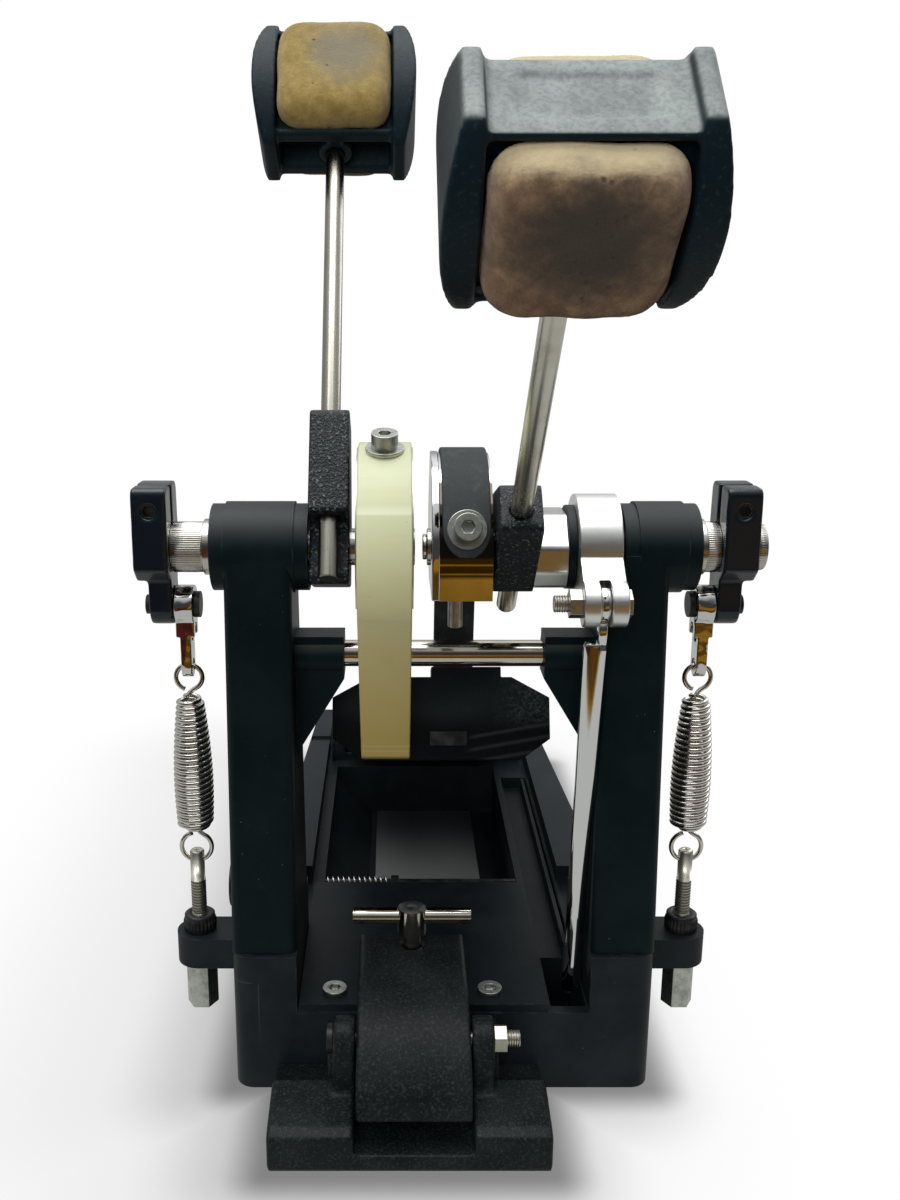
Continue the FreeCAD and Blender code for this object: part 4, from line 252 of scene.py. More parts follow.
seamLook = {"level": 50 * mm, "inner": -79 * mm, "upright": -77 * mm, "low": 16 * mm, "front": -26 * mm,
            "half": 0.4 * mm, "soft": 1 * mm, "turn": 2 * mm, "share": 0.5}


def cornerSeam(paint, colour):
    # the joint line of a moulded corner on the base's left front
    look = seamLook
    across, away, height = paint.places()
    flat = paint.line(height, look["level"], look["half"]) * paint.step(across, look["inner"], -look["soft"])
    fade = paint.between(height, look["low"], look["level"])
    fade = fade * paint.step(height, look["level"], -look["soft"])
    upright = paint.line(across, look["upright"], look["half"]) * fade
    seam = (flat + upright) * paint.step(away, look["front"], -look["turn"])
    return paint.mix(seam * look["share"], colour, wearLook["scuff"])


toeLook = {
    "back": 44 * mm, "soft": 4 * mm, "lip": (142 * mm, 152 * mm), "right": (20 * mm, 40 * mm),
    "shadeUnder": (0.0010, 0.0014, 0.0016), "shadeUnderShare": 0.9,
    "worn": (0.032, 0.036, 0.036), "wornGrain": (800, 2, 0.6, 0.40, 0.65), "wornShare": 0.6,
    "rib": (0.012, 0.015, 0.016), "ribHighlightShare": 0.8, "ribHalf": 1.2 * mm, "ribSlope": 0.16,
    "ribLevels": (128 * mm, 133 * mm, 138 * mm), "ribStart": (10 * mm, 16 * mm),
}


def toeShade(paint, colour):
    # the toe's lip is rubbed at its right end; its ribbed lower side is darkened as painted shade, with pale
    # rib lines as painted highlights
    look = toeLook
    across, away, height = paint.places()
    toe = paint.step(away, look["back"], -look["soft"])
    lip = paint.between(height, *look["lip"])
    end = paint.between(across, *look["right"])
    # painted shade below the lip
    colour = paint.mix((1 - lip) * toe * look["shadeUnderShare"], colour, look["shadeUnder"])
    # pale rib lines: painted highlights
    for level in look["ribLevels"]:
        rib = paint.line(height - look["ribSlope"] * across, level, look["ribHalf"])
        rib = rib * paint.between(across, *look["ribStart"])
        colour = paint.mix(rib * toe * look["ribHighlightShare"], colour, look["rib"])
    grain = paint.patches(*look["wornGrain"])
    return paint.mix(lip * end * toe * grain * look["wornShare"], colour, look["worn"])


coarseLook = {
    # pale is painted glints on the pebble crests, and wear on rubbed edges
    "dark": (0.0016, 0.0042, 0.0060), "pale": (0.150, 0.170, 0.176), "gloss": 0.35,
    "pebble": (900, 2, 0.55), "fine": (2070, 2), "crest": (0.56, 0.72), "crestShare": 0.55,
    "edge": 0.8 * mm, "rub": (260, 3, 0.5, 0.4, 0.65), "rubShare": 0.3,
    "rough": 0.30, "roughSpan": 0.25, "fineShare": 0.3, "depth": 0.9, "deep": 0.6 * mm,
}


def coarseBlack():
    look = coarseLook
    paint = Paint("coarse_black", {"Specular IOR Level": look["gloss"]})
    pebble = paint.noise(*look["pebble"])
    fine = paint.noise(*look["fine"])
    rub = paint.edges(look["edge"]) * paint.patches(*look["rub"]) * look["rubShare"]
    # the pale pebble crests are painted glints
    crest = paint.between(pebble, *look["crest"]) * look["crestShare"]
    colour = paint.mix(crest + rub, look["dark"], look["pale"])
    paint.set({"Base Color": colour, "Roughness": look["rough"] + look["roughSpan"] * fine})
    paint.bump(pebble + look["fineShare"] * fine, look["depth"], look["deep"])
    return paint.material


glossLook = {
    "dark": (0.0024, 0.0062, 0.0098), "worn": (0.040, 0.045, 0.050), "gloss": 0.3,
    "coat": 0.42, "coatSpan": 0.25, "coatRough": 0.10, "peel": (520, 2), "haze": (90, 4),
    "hazy": (0.45, 0.75), "edge": 0.6 * mm, "rub": (300, 3, 0.5, 0.45, 0.65), "rubShare": 0.6,
    "rough": 0.20, "roughSpan": 0.16, "depth": 0.12, "deep": 0.2 * mm,
}


def glossBlack():
    look = glossLook
    paint = Paint("gloss_black", {"Coat Roughness": look["coatRough"], "Specular IOR Level": look["gloss"]})
    peel = paint.noise(*look["peel"])
    haze = paint.noise(*look["haze"])
    rub = paint.edges(look["edge"]) * paint.patches(*look["rub"]) * look["rubShare"]
    paint.set({"Base Color": paint.mix(rub, look["dark"], look["worn"]),
               "Roughness": look["rough"] + look["roughSpan"] * paint.between(haze, *look["hazy"]),
               "Coat Weight": look["coat"] - look["coatSpan"] * haze})
    paint.bump(peel, look["depth"], look["deep"])
    return paint.material


headLook = {
    "dark": (0.0026, 0.0088, 0.0130), "topLightGrey": (0.215, 0.240, 0.232), "scuff": (0.12, 0.135, 0.135),
    # each head's share of painted top light on its upward faces
    "gloss": 0.16, "paintedTopLight": {"left": 0.06, "right": 1.0}, "tops": (0.05, 0.64),
    "patch": (85, 6, 0.62), "patchy": (0.25, 0.75, 0.6, 1.0), "patchShare": 0.5,
    "speck": (700, 3, 0.6), "specked": (0.34, 0.62, 0.78, 1.06), "crest": (0.55, 0.75), "crestShare": 0.10,
    "edge": 0.9 * mm, "rub": (240, 3, 0.5, 0.38, 0.62), "rubShare": 0.12,
    "grain": (1100, 2), "rough": 0.50, "roughSpan": 0.2, "depth": 0.45, "deep": 0.2 * mm,
}


def headBlack(side):
    look = headLook
    paint = Paint(side + "_head_black", {"Specular IOR Level": look["gloss"]})
    patch = paint.noise(*look["patch"])
    speck = paint.noise(*look["speck"])
    # grey on upward faces, broken into dusty patches and specks, is painted top light
    dust = paint.between(paint.upward(), *look["tops"]) * paint.between(patch, *look["patchy"])
    dust = dust * look["paintedTopLight"][side] * paint.between(speck, *look["specked"])
    rub = paint.edges(look["edge"]) * paint.patches(*look["rub"]) * look["rubShare"]
    crest = look["crestShare"] * paint.between(speck, *look["crest"])
    colour = paint.mix(dust, look["dark"], look["topLightGrey"])
    colour = paint.mix(rub + crest, colour, look["scuff"])
    paint.set({"Base Color": colour, "Roughness": look["rough"] + look["roughSpan"] * (patch - 0.5)})
    paint.bump(paint.noise(*look["grain"]) + look["patchShare"] * patch, look["depth"], look["deep"])
    return paint.material


woolLook = {
    "sheen": 0.2, "sheenRough": 0.5, "gloss": 0.06, "cloud": (190, 7, 0.7), "tones": (0.3, 0.72),
    "fibre": (1300, 5, 0.75), "fibres": (0.46, 0.70), "fibreShare": 0.6, "coreShare": 0.25,
    "browSpan": 0.5, "browTops": (0.05, 0.8), "pits": 210, "pitEdge": (0.20, 0.06),
    "pitArea": (75, 2, 0.5, 0.5, 0.6), "pit": (0.03, 0.025, 0.02), "pitShare": 0.7,
    "rough": 0.86, "roughSpan": 0.12, "cloudHigh": 0.6, "pitHigh": -0.8, "depth": 0.9, "deep": 0.7 * mm,
}
feltLooks = {
    # each felt's colours, and where hits have soiled it
    "left": {"pale": (0.330, 0.245, 0.085), "deepTone": (0.205, 0.140, 0.040), "browHighlight": (0.40, 0.30, 0.12),
             "brow": 0.0, "soil": (0.190, 0.172, 0.128), "soilShare": 0.85, "middle": (0.10, 0.80),
             "reach": 22 * mm, "drift": 16 * mm},
    "right": {"pale": (0.290, 0.192, 0.104), "deepTone": (0.165, 0.094, 0.051),
              "browHighlight": (0.56, 0.47, 0.28), "brow": 0.75, "soil": (0.036, 0.029, 0.023), "soilShare": 0.94,
              "middle": (0.02, 0.28), "reach": 34 * mm, "drift": 24 * mm},
}


def feltCloth(side, face):
    # face is the middle of the part that hits have greyed
    look = {**woolLook, **feltLooks[side]}
    paint = Paint(side + "_felt", {"Sheen Weight": look["sheen"], "Sheen Roughness": look["sheenRough"],
                                   "Specular IOR Level": look["gloss"]})
    away = paint.apart(paint.spot(), face)
    cloud = paint.noise(*look["cloud"])
    fibre = paint.noise(*look["fibre"])
    pit = paint.between(paint.cells(look["pits"]), *look["pitEdge"]) * paint.patches(*look["pitArea"])
    drift = look["drift"] * (cloud - 0.5)
    worn = paint.between(away + drift, look["reach"], look["coreShare"] * look["reach"])
    # upward faces lighter along the top: a painted highlight, used on the right felt
    brow = paint.between(paint.upward() + look["browSpan"] * (cloud - 0.5), *look["browTops"])
    colour = paint.mix(paint.between(cloud, *look["tones"]), look["deepTone"], look["pale"])
    colour = paint.mix(paint.between(fibre, *look["fibres"]) * look["fibreShare"], colour, look["deepTone"])
    colour = paint.mix(worn * look["soilShare"], colour, look["soil"])
    colour = paint.mix(brow * look["brow"], colour, look["browHighlight"])
    colour = paint.mix(pit * look["pitShare"], colour, look["pit"])
    paint.set({"Base Color": colour, "Roughness": look["rough"] + look["roughSpan"] * fibre})
    paint.bump(fibre + look["cloudHigh"] * cloud + look["pitHigh"] * pit, look["depth"], look["deep"])
    return paint.material


creamLook = {
    "pale": (0.430, 0.455, 0.290), "brownStainAndShade": (0.400, 0.310, 0.098), "lowerShadeShare": 0.95,
    "high": 262 * mm, "low": 136 * mm, "drift": 30 * mm, "blotch": (95, 5, 0.6),
    "weave": (420, 3, 0.6), "weaveLines": (0.06, 1, 1), "woven": (0.5, 0.7), "weaveShare": 0.12,
    "stains": 130, "stainEdge": (0.09, 0.02), "stainShare": 0.45,
    "lap": 247.5 * mm, "lapRise": 0.9 * mm, "lapEnd": 4.5 * mm,
    "lapHighlight": (0.66, 0.68, 0.50), "lapHighlightShare": 0.45,
    "stitches": (137 * mm, 140 * mm), "stitchHalf": 0.45 * mm,
    "stitch": (0.56, 0.50, 0.26), "stitchShare": 0.5,
    "rough": 0.38, "roughSpan": 0.2, "lapHigh": 1.5, "depth": 0.10, "deep": 0.15 * mm,
}


def creamBand():
    # paler near the cam and browner lower down, which is painted light falloff and warm reflection, with a
    # lap at its top whose pale line is a painted highlight, and two stitched lines at its foot
    look = creamLook
    paint = Paint("cream_band", {})
    spot = paint.spot()
    height = paint.split(spot, "Z")
    blotch = paint.noise(*look["blotch"])
    weave = paint.noise(*look["weave"], paint.stretch(spot, look["weaveLines"]))
    # browner towards the bottom: painted shade and warm reflection
    lowerShade = paint.between(height + look["drift"] * (blotch - 0.5), look["high"], look["low"])
    stain = paint.between(paint.cells(look["stains"]), *look["stainEdge"]) * look["stainShare"]
    crest = look["lap"] + look["lapRise"]
    lap = paint.between(height, look["lap"], crest)
    lap = lap * paint.between(height, look["lap"] + look["lapEnd"], crest)
    woven = look["weaveShare"] * paint.between(weave, *look["woven"])
    colour = paint.mix(lowerShade * look["lowerShadeShare"], look["pale"], look["brownStainAndShade"])
    colour = paint.mix(stain + woven, colour, look["brownStainAndShade"])
    for level in look["stitches"]:
        stitch = paint.line(height, level, look["stitchHalf"])
        colour = paint.mix(stitch * look["stitchShare"], colour, look["stitch"])
    # the pale line at the lap's edge is a painted highlight
    colour = paint.mix(lap * look["lapHighlightShare"], colour, look["lapHighlight"])
    paint.set({"Base Color": colour, "Roughness": look["rough"] + look["roughSpan"] * blotch})
    paint.bump(weave + look["lapHigh"] * lap, look["depth"], look["deep"])
    return paint.material


blackLook = {
    "dark": (0.020, 0.024, 0.025), "worn": (0.060, 0.066, 0.066), "gloss": 0.35,
    "weave": (1500, 2, 0.5), "weaveLines": (1, 0.5, 0.5), "wear": (140, 5, 0.6, 0.5, 0.75), "wearShare": 0.5,
    "rough": 0.6, "roughSpan": 0.25, "depth": 0.5, "deep": 0.25 * mm,
}


def blackBand():
    look = blackLook
    paint = Paint("black_band", {"Specular IOR Level": look["gloss"]})
    weave = paint.noise(*look["weave"], paint.stretch(paint.spot(), look["weaveLines"]))
    colour = paint.mix(paint.patches(*look["wear"]) * look["wearShare"], look["dark"], look["worn"])
    paint.set({"Base Color": colour, "Roughness": look["rough"] + look["roughSpan"] * weave})
    paint.bump(weave, look["depth"], look["deep"])
    return paint.material


brushLook = {
    # lines stretches the grain: small along the brushing, large across it
    "lines": (0.05, 1, 1), "scratch": (900, 4, 0.6), "haze": 0.14, "depth": 0.06, "deep": 0.05 * mm,
    "cloud": (75, 5, 0.6), "tones": (0.4, 0.75), "wornShare": 0.55, "dull": (0.5, 0.8), "dullShare": 0.1,
}
brushedLooks = {
    "steel": {"name": "bright_steel", "tint": (0.60, 0.58, 0.54), "worn": (0.40, 0.37, 0.33), "rough": 0.22},
    # both rods are one steel: the left rod's darker tint is painted shade and the right rod's brighter tint
    # painted light
    "shadedLeftRod": {"name": "left_rod_steel_shaded", "tint": (0.42, 0.40, 0.345), "worn": (0.31, 0.285, 0.23),
                "rough": 0.24, "lines": (1, 0.06, 0.06)},
    "litRightRod": {"name": "right_rod_steel_lit", "tint": (0.68, 0.65, 0.56), "worn": (0.48, 0.445, 0.36),
                 "rough": 0.24, "lines": (1, 0.06, 0.06)},
    "bar": {"name": "bar_steel", "tint": (0.66, 0.61, 0.54), "worn": (0.46, 0.40, 0.33), "rough": 0.11},
    "collar": {"name": "collar_aluminium", "tint": (0.90, 0.905, 0.87), "worn": (0.72, 0.72, 0.69),
               "rough": 0.36, "depth": 0.10, "haze": 0.2},
    "aluminium": {"name": "satin_aluminium", "tint": (0.74, 0.745, 0.715), "worn": (0.56, 0.56, 0.535),
                  "rough": 0.33, "depth": 0.10, "haze": 0.2},
}


def brushedMetal(own):
    look = {**brushLook, **own}
    paint = Paint(look["name"], {"Metallic": 1.0})
    scratch = paint.noise(*look["scratch"], paint.stretch(paint.spot(), look["lines"]))
    cloud = paint.noise(*look["cloud"])
    dull = look["dullShare"] * paint.between(cloud, *look["dull"])
    colour = paint.mix(paint.between(cloud, *look["tones"]) * look["wornShare"], look["tint"], look["worn"])
    paint.set({"Base Color": colour, "Roughness": look["rough"] + look["haze"] * (scratch - 0.5) + dull})
    paint.bump(scratch, look["depth"], look["deep"])
    return paint.material


plateLook = {
    "rough": 0.045, "uneven": 0.0, "pit": (680, 5, 0.7, 0.66, 0.78), "pitTone": (0.25, 0.22, 0.18),
    "pitShare": 0.5, "pitRough": 0.12, "cloud": (55, 4), "cloudRough": 0.04, "cloudHigh": 0.01,
    "dents": (110, 1), "depth": 1.0, "deep": 2.5 * mm,
}
plateLooks = {
    "chrome": {"name": "bright_chrome", "tint": (0.80, 0.80, 0.80)},
    "hook": {"name": "hook_chrome", "tint": (0.74, 0.73, 0.72), "rough": 0.06, "uneven": 0.8},
    "wire": {"name": "spring_wire", "tint": (0.74, 0.71, 0.66), "rough": 0.14},
}


def chromePlate(own):
    look = {**plateLook, **own}
    paint = Paint(look["name"], {"Metallic": 1.0})
    pit = paint.patches(*look["pit"])
    cloud = paint.noise(*look["cloud"])
    dents = look["cloudHigh"] * cloud + look["uneven"] * paint.noise(*look["dents"])
    paint.set({"Base Color": paint.mix(pit * look["pitShare"], look["tint"], look["pitTone"]),
               "Roughness": look["rough"] + look["pitRough"] * pit + look["cloudRough"] * cloud})
    paint.bump(dents, look["depth"], look["deep"])
    return paint.material


oiledLook = {
    "metal": 0.75, "dark": (0.018, 0.019, 0.020), "pale": (0.05, 0.05, 0.05),
    "cloud": (160, 5), "tones": (0.4, 0.7), "worn": (0.24, 0.24, 0.23), "edge": 0.35 * mm, "rubShare": 0.6,
    "rough": 0.34, "roughSpan": 0.2, "grain": (1500, 2), "depth": 0.12, "deep": 0.08 * mm,
}


def oiledSteel():
    look = oiledLook
    paint = Paint("oiled_steel", {"Metallic": look["metal"]})
    cloud = paint.noise(*look["cloud"])
    colour = paint.mix(paint.between(cloud, *look["tones"]), look["dark"], look["pale"])
    colour = paint.mix(paint.edges(look["edge"]) * look["rubShare"], colour, look["worn"])
    paint.set({"Base Color": colour, "Roughness": look["rough"] + look["roughSpan"] * cloud})
    paint.bump(paint.noise(*look["grain"]), look["depth"], look["deep"])
    return paint.material


threadLook = {
    "metal": 0.95, "bright": (0.66, 0.63, 0.54), "grooveShade": (0.24, 0.22, 0.18), "soft": 0.2 * mm,
    "grooveShares": (0.26, 0.10), "cloud": (260, 4), "rough": 0.26, "grooveRough": 0.25, "cloudRough": 0.1,
}


def threadSteel(name, axis, pitch, start, end):
    # the grooves between start and end along the axis are darkened: painted shade
    look = threadLook
    paint = Paint(name, {"Metallic": look["metal"]})
    along = paint.split(paint.spot(), axis)
    cut = paint.step(along, start, look["soft"]) * paint.step(along, end, -look["soft"])
    outer, inner = look["grooveShares"]
    groove = paint.between(paint.wave(along - start, pitch / 2), outer * pitch, inner * pitch) * cut
    cloud = paint.noise(*look["cloud"])
    paint.set({"Base Color": paint.mix(groove, look["bright"], look["grooveShade"]),
               "Roughness": look["rough"] + look["grooveRough"] * groove + look["cloudRough"] * cloud})
    return paint.material


turnedLook = {
    "metal": 0.55, "dark": (0.022, 0.024, 0.025), "pale": (0.095, 0.098, 0.098),
    "ring": 0.35 * mm, "ringShare": 0.6, "cloud": (420, 4), "rough": 0.30, "roughSpan": 0.2,
    "depth": 0.5, "deep": 0.12 * mm,
}


def turnedSteel(centre):
    # fine rings left by the lathe around a centre
    look = turnedLook
    paint = Paint("turned_steel", {"Metallic": look["metal"]})
    ring = paint.wave(paint.apart(paint.spot(), centre), look["ring"]) / look["ring"]
    cloud = paint.noise(*look["cloud"])
    tone = look["ringShare"] * ring + (1 - look["ringShare"]) * cloud
    paint.set({"Base Color": paint.mix(tone, look["dark"], look["pale"]),
               "Roughness": look["rough"] + look["roughSpan"] * cloud})
    paint.bump(ring, look["depth"], look["deep"])
    return paint.material


zincLook = {
    "bright": (0.60, 0.62, 0.57), "dull": (0.36, 0.38, 0.34), "cloud": (240, 5, 0.65), "tones": (0.35, 0.7),
    "rough": 0.27, "roughSpan": 0.22, "grain": (1200, 2), "depth": 0.15, "deep": 0.08 * mm,
}


def zincPlate():
    look = zincLook
    paint = Paint("zinc_plate", {"Metallic": 1.0})
    cloud = paint.noise(*look["cloud"])
    paint.set({"Base Color": paint.mix(paint.between(cloud, *look["tones"]), look["bright"], look["dull"]),
               "Roughness": look["rough"] + look["roughSpan"] * cloud})
    paint.bump(paint.noise(*look["grain"]), look["depth"], look["deep"])
    return paint.material


camLook = {
    "bright": (0.80, 0.80, 0.80), "dark": (0.09, 0.075, 0.06), "pale": (0.80, 0.74, 0.66),
    "front": -24 * mm, "soft": 2 * mm, "ledgeShade": (223.0 * mm, 225.0 * mm),
    "lines": (225.5 * mm, 229.0 * mm), "lineHalf": 0.6 * mm, "highlightLineShare": 0.7,
    "cloud": (320, 3), "rough": 0.06, "roughSpan": 0.06, "depth": 0.1, "deep": 0.1 * mm,
}


def camPlate():
    # chrome with a dark band across its front, painted as the shade of a ledge, and pale lines above it as
    # painted highlights
    look = camLook
    paint = Paint("cam_chrome", {"Metallic": 1.0})
    _, away, height = paint.places()
    front = paint.between(away, look["front"] + look["soft"], look["front"])
    colour = paint.mix(paint.between(height, *look["ledgeShade"]) * front, look["bright"], look["dark"])
    # pale lines: painted highlights
    for level in look["lines"]:
        line = paint.line(height, level, look["lineHalf"])
        colour = paint.mix(line * front * look["highlightLineShare"], colour, look["pale"])
    cloud = paint.noise(*look["cloud"])
    paint.set({"Base Color": colour, "Roughness": look["rough"] + look["roughSpan"] * cloud})
    paint.bump(cloud, look["depth"], look["deep"])
    return paint.material


pivotLook = {
    "black": (0.020, 0.021, 0.022), "bright": (0.66, 0.64, 0.55), "dull": (0.42, 0.40, 0.33), "metal": 0.6,
    "nut": (-12 * mm, -10 * mm), "cloud": (240, 5, 0.65), "rough": 0.34, "cloudRough": 0.1, "nutSmooth": 0.1,
}


def pivotSteel():
    # a black head on the left and a zinc nut on the right
    look = pivotLook
    paint = Paint("pivot_steel", {})
    cloud = paint.noise(*look["cloud"])
    nut = paint.between(paint.split(paint.spot(), "X"), *look["nut"])
    zinc = paint.mix(cloud, look["bright"], look["dull"])
    paint.set({"Base Color": paint.mix(nut, look["black"], zinc),
               "Metallic": look["metal"] + (1 - look["metal"]) * nut,
               "Roughness": look["rough"] + look["cloudRough"] * cloud - look["nutSmooth"] * nut})
    return paint.material


trayLook = {
    "metal": 0.35, "dark": (0.034, 0.037, 0.039), "pale": (0.23, 0.238, 0.236),
    "paintedShadeRange": (215 * mm, 128 * mm), "streak": (700, 3, 0.6), "lines": (0.06, 1, 1),
    "rough": 0.36, "roughSpan": 0.14, "depth": 0.05, "deep": 0.05 * mm,
}


def traySheet():
    # satin grey, paler towards the deck and darker further back under the footboard: painted shade
    look = trayLook
    paint = Paint("tray_sheet", {"Metallic": look["metal"]})
    spot = paint.spot()
    streak = paint.noise(*look["streak"], paint.stretch(spot, look["lines"]))
    # darker further back: painted shade
    tone = paint.between(paint.split(spot, "Y"), *look["paintedShadeRange"])
    paint.set({"Base Color": paint.mix(tone, look["dark"], look["pale"]),
               "Roughness": look["rough"] + look["roughSpan"] * streak})
    paint.bump(streak, look["depth"], look["deep"])
    return paint.material


metals = {
    **{finish: brushedMetal(look) for finish, look in brushedLooks.items()},
    **{finish: chromePlate(look) for finish, look in plateLooks.items()},
    "sheet": traySheet(), "zinc": zincPlate(), "oiled": oiledSteel(),
    "pivot": pivotSteel(), "cam": camPlate(),
}
plastics = {
    "tower": mouldedBlack("tower"), "base": mouldedBlack("base", cornerSeam),
    "board": mouldedBlack("board", toeShade), "deck": mouldedBlack("deck"), "clamp": mouldedBlack("clamp"),
    "coarse": coarseBlack(), "gloss": glossBlack(), "cream": creamBand(), "black": blackBand(),
    "leftHead": headBlack("left"), "rightHead": headBlack("right"),
}
finishes = {**metals, **plastics}
print("finishes made:", len(finishes))


# CAD pieces keep their shape and get a finish and softened edges

softEdges = {
    # node: (finish, edge rounding in mm)
    "base_frame": ("base", 0.9), "left_tower": ("tower", 0.9), "right_tower": ("tower", 0.9),
    "deck_plate": ("deck", 0.9), "heel_plate": ("base", 0.6), "footboard": ("board", 1.8),
    "floor_plate": ("sheet", 0.2), "cross_rod": ("bar", 0.4), "hinge_pin": ("steel", 0.4),
    "left_axle": ("steel", 0.3), "right_axle": ("steel", 0.3),
    "left_bearings": ("steel", 0.3), "right_bearings": ("steel", 0.3),
    "left_beater_rod": ("shadedLeftRod", 0.5), "right_beater_rod": ("litRightRod", 0.5),
    "left_cam": ("aluminium", 0.4), "right_cam": ("cam", 0.5), "cam_side_plate": ("chrome", 0.5),
    "right_hub": ("aluminium", 0.4), "link_collar": ("collar", 0.6), "collar_liner": ("tower", 0.5),
    "left_tension_nut": ("zinc", 0.4), "right_tension_nut": ("zinc", 0.4), "deck_screws": ("zinc", 0.25),
    "front_strap_screw": ("zinc", 0.3), "rear_strap_screw": ("zinc", 0.3), "link_bolt": ("zinc", 0.3),
    "left_rocker_screws": ("oiled", 0.25), "right_rocker_screws": ("oiled", 0.25),
    "left_holder_screw": ("oiled", 0.25), "right_holder_screw": ("oiled", 0.25),
    "right_end_screw": ("bar", 0.5), "clamp_pivot_bolt": ("pivot", 0.3), "clamp_screw": ("bar", 0.4),
    "tower_bolts": ("oiled", 0.3), "toe_plate": ("oiled", 0.3), "latch_rod": ("oiled", 0.4),
}
castForms = {
    # node: (finish, grid in mm, smoothing passes), for castings and mouldings that are round all over
    "left_beater_head": ("leftHead", 0.8, 7), "right_beater_head": ("rightHead", 0.9, 8),
    "clamp_arm": ("clamp", 0.9, 14), "clamp_foot": ("clamp", 1.0, 6),
    "left_beater_holder": ("coarse", 0.6, 12), "right_beater_holder": ("coarse", 0.6, 12),
    "left_rocker": ("gloss", 0.6, 12), "right_rocker": ("gloss", 0.6, 12),
    "left_spring_hook": ("hook", 0.35, 7), "right_spring_hook": ("hook", 0.35, 7),
}
edgeSize = {
    # flat and sharp are angles in degrees; roundings above fineFrom get more segments
    "weld": 0.002 * mm, "flat": 0.4, "sharp": 32, "ease": 0.5,
    "segments": 2, "fineSegments": 4, "fineFrom": 1.1 * mm,
    "openFaced": ("base_frame",),   # its top face surrounds the tray, so its triangles stay
}


def dress(item, finish):
    item.data.materials.clear()
    item.data.materials.append(finishes[finish])
    weld = item.modifiers.new("weld", "WELD")
    weld.merge_threshold = edgeSize["weld"]


def soften(item, radius):
    size = edgeSize
    if item.name not in size["openFaced"]:
        flat = item.modifiers.new("flat", "DECIMATE")
        flat.decimate_type = "DISSOLVE"
        flat.angle_limit = math.radians(size["flat"])
    rounding = item.modifiers.new("rounding", "BEVEL")
    rounding.width = radius
    rounding.segments = size["fineSegments"] if radius > size["fineFrom"] else size["segments"]
    rounding.limit_method = "ANGLE"
    rounding.angle_limit = math.radians(size["sharp"])
    rounding.miter_outer = "MITER_ARC"
    item.modifiers.new("normals", "WEIGHTED_NORMAL").keep_sharp = True
    item.data.polygons.foreach_set("use_smooth", [True] * len(item.data.polygons))


def roundOver(item, grid, passes):
    form = item.modifiers.new("form", "REMESH")
    form.mode = "VOXEL"
    form.voxel_size = grid
    form.use_smooth_shade = True
    ease = item.modifiers.new("ease", "SMOOTH")
    ease.factor = edgeSize["ease"]
    ease.iterations = passes


for node, (finish, radius) in softEdges.items():
    dress(nodes[node], finish)
    soften(nodes[node], radius * mm)
for node, (finish, grid, passes) in castForms.items():
    dress(nodes[node], finish)
    roundOver(nodes[node], grid * mm, passes)
print("CAD pieces dressed:", len(softEdges) + len(castForms))


# Mesh makers for the pieces that replace or detail CAD solids

def makePiece(name, verts, faces, finish, body=None, slot=None, stands=()):
    mesh = bpy.data.meshes.new(name)
    mesh.from_pydata([tuple(v) for v in verts], [], faces)
    shape = bmesh.new()
    shape.from_mesh(mesh)
    bmesh.ops.recalc_face_normals(shape, faces=shape.faces)
    shape.to_mesh(mesh)
    shape.free()
    mesh.polygons.foreach_set("use_smooth", [len(face.vertices) == 4 for face in mesh.polygons])
    mesh.materials.append(finish)
    item = bpy.data.objects.new(name, mesh)
    bpy.context.scene.collection.objects.link(item)
    if body:
        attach(item, body)
    if stands:
        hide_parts(*stands)
    return item


def skin(rings, closed, startCapped=True):
    # faces between rings of equal length; closed joins the last ring to the first, else the ends are capped
    count = len(rings[0])
    verts = [v for ring in rings for v in ring]
    faces = []
    for i in range(len(rings) if closed else len(rings) - 1):
        a, b = i * count, (i + 1) % len(rings) * count
        for k in range(count):
            after = (k + 1) % count
            faces.append((a + k, a + after, b + after, b + k))
    if not closed:
        if startCapped:
            faces.append(tuple(reversed(range(count))))
        faces.append(tuple(range(len(verts) - count, len(verts))))
    return verts, faces


def joined(parts):
    verts, faces = [], []
    for more, walls in parts:
        faces += [tuple(k + len(verts) for k in wall) for wall in walls]
        verts += more
    return verts, faces


def wayAt(points, i):
    return (points[min(i + 1, len(points) - 1)] - points[max(i - 1, 0)]).normalized()


def wireAlong(points, radius, sides):
    rings = []
    lean = None
    for i, point in enumerate(points):
        way = wayAt(points, i)
        lean = way.orthogonal() if lean is None else lean - way * lean.dot(way)
        lean.normalize()
        across = way.cross(lean)
        rings.append([point + (lean * math.cos(a) + across * math.sin(a)) * radius
                      for a in (2 * math.pi * k / sides for k in range(sides))])
    return skin(rings, False)


def turned(profile, start, way, steps, ribs=0, ribDeep=0.0):
    # a closed profile of (radius, distance, ribbed) turned about an axis; ribs run along the axis
    way = way.normalized()
    lean = way.orthogonal().normalized()
    across = way.cross(lean)
    rings = []
    for k in range(steps):
        a = 2 * math.pi * k / steps
        out = lean * math.cos(a) + across * math.sin(a)
        rib = ribDeep * (0.5 + 0.5 * math.cos(ribs * a))
        rings.append([start + way * along + out * (radius - (rib if ribbed else 0.0))
                      for radius, along, ribbed in profile])
    return skin(rings, True)


def plain(profile):
    return [(radius, along, False) for radius, along in profile]


# Springs

springSize = {
    "wire": 1.0 * mm, "sides": 12, "turns": 24.5, "steps": 30, "wideShare": 0.35, "neckShare": 0.25,
    "low": 6.6 * mm, "middle": 7.4 * mm, "top": 4.6 * mm,
    "lowLoop": 6.5 * mm, "topLoop": 5.5 * mm, "lowStand": 2.0 * mm, "topStand": 2.2 * mm,
    "lowArc": (105, 451), "topArc": (-90, 256), "arcStep": 10, "easePasses": 6, "easeReach": 4,
}
latchSize = {"wire": 0.5 * mm, "sides": 8, "turns": 12, "steps": 360}


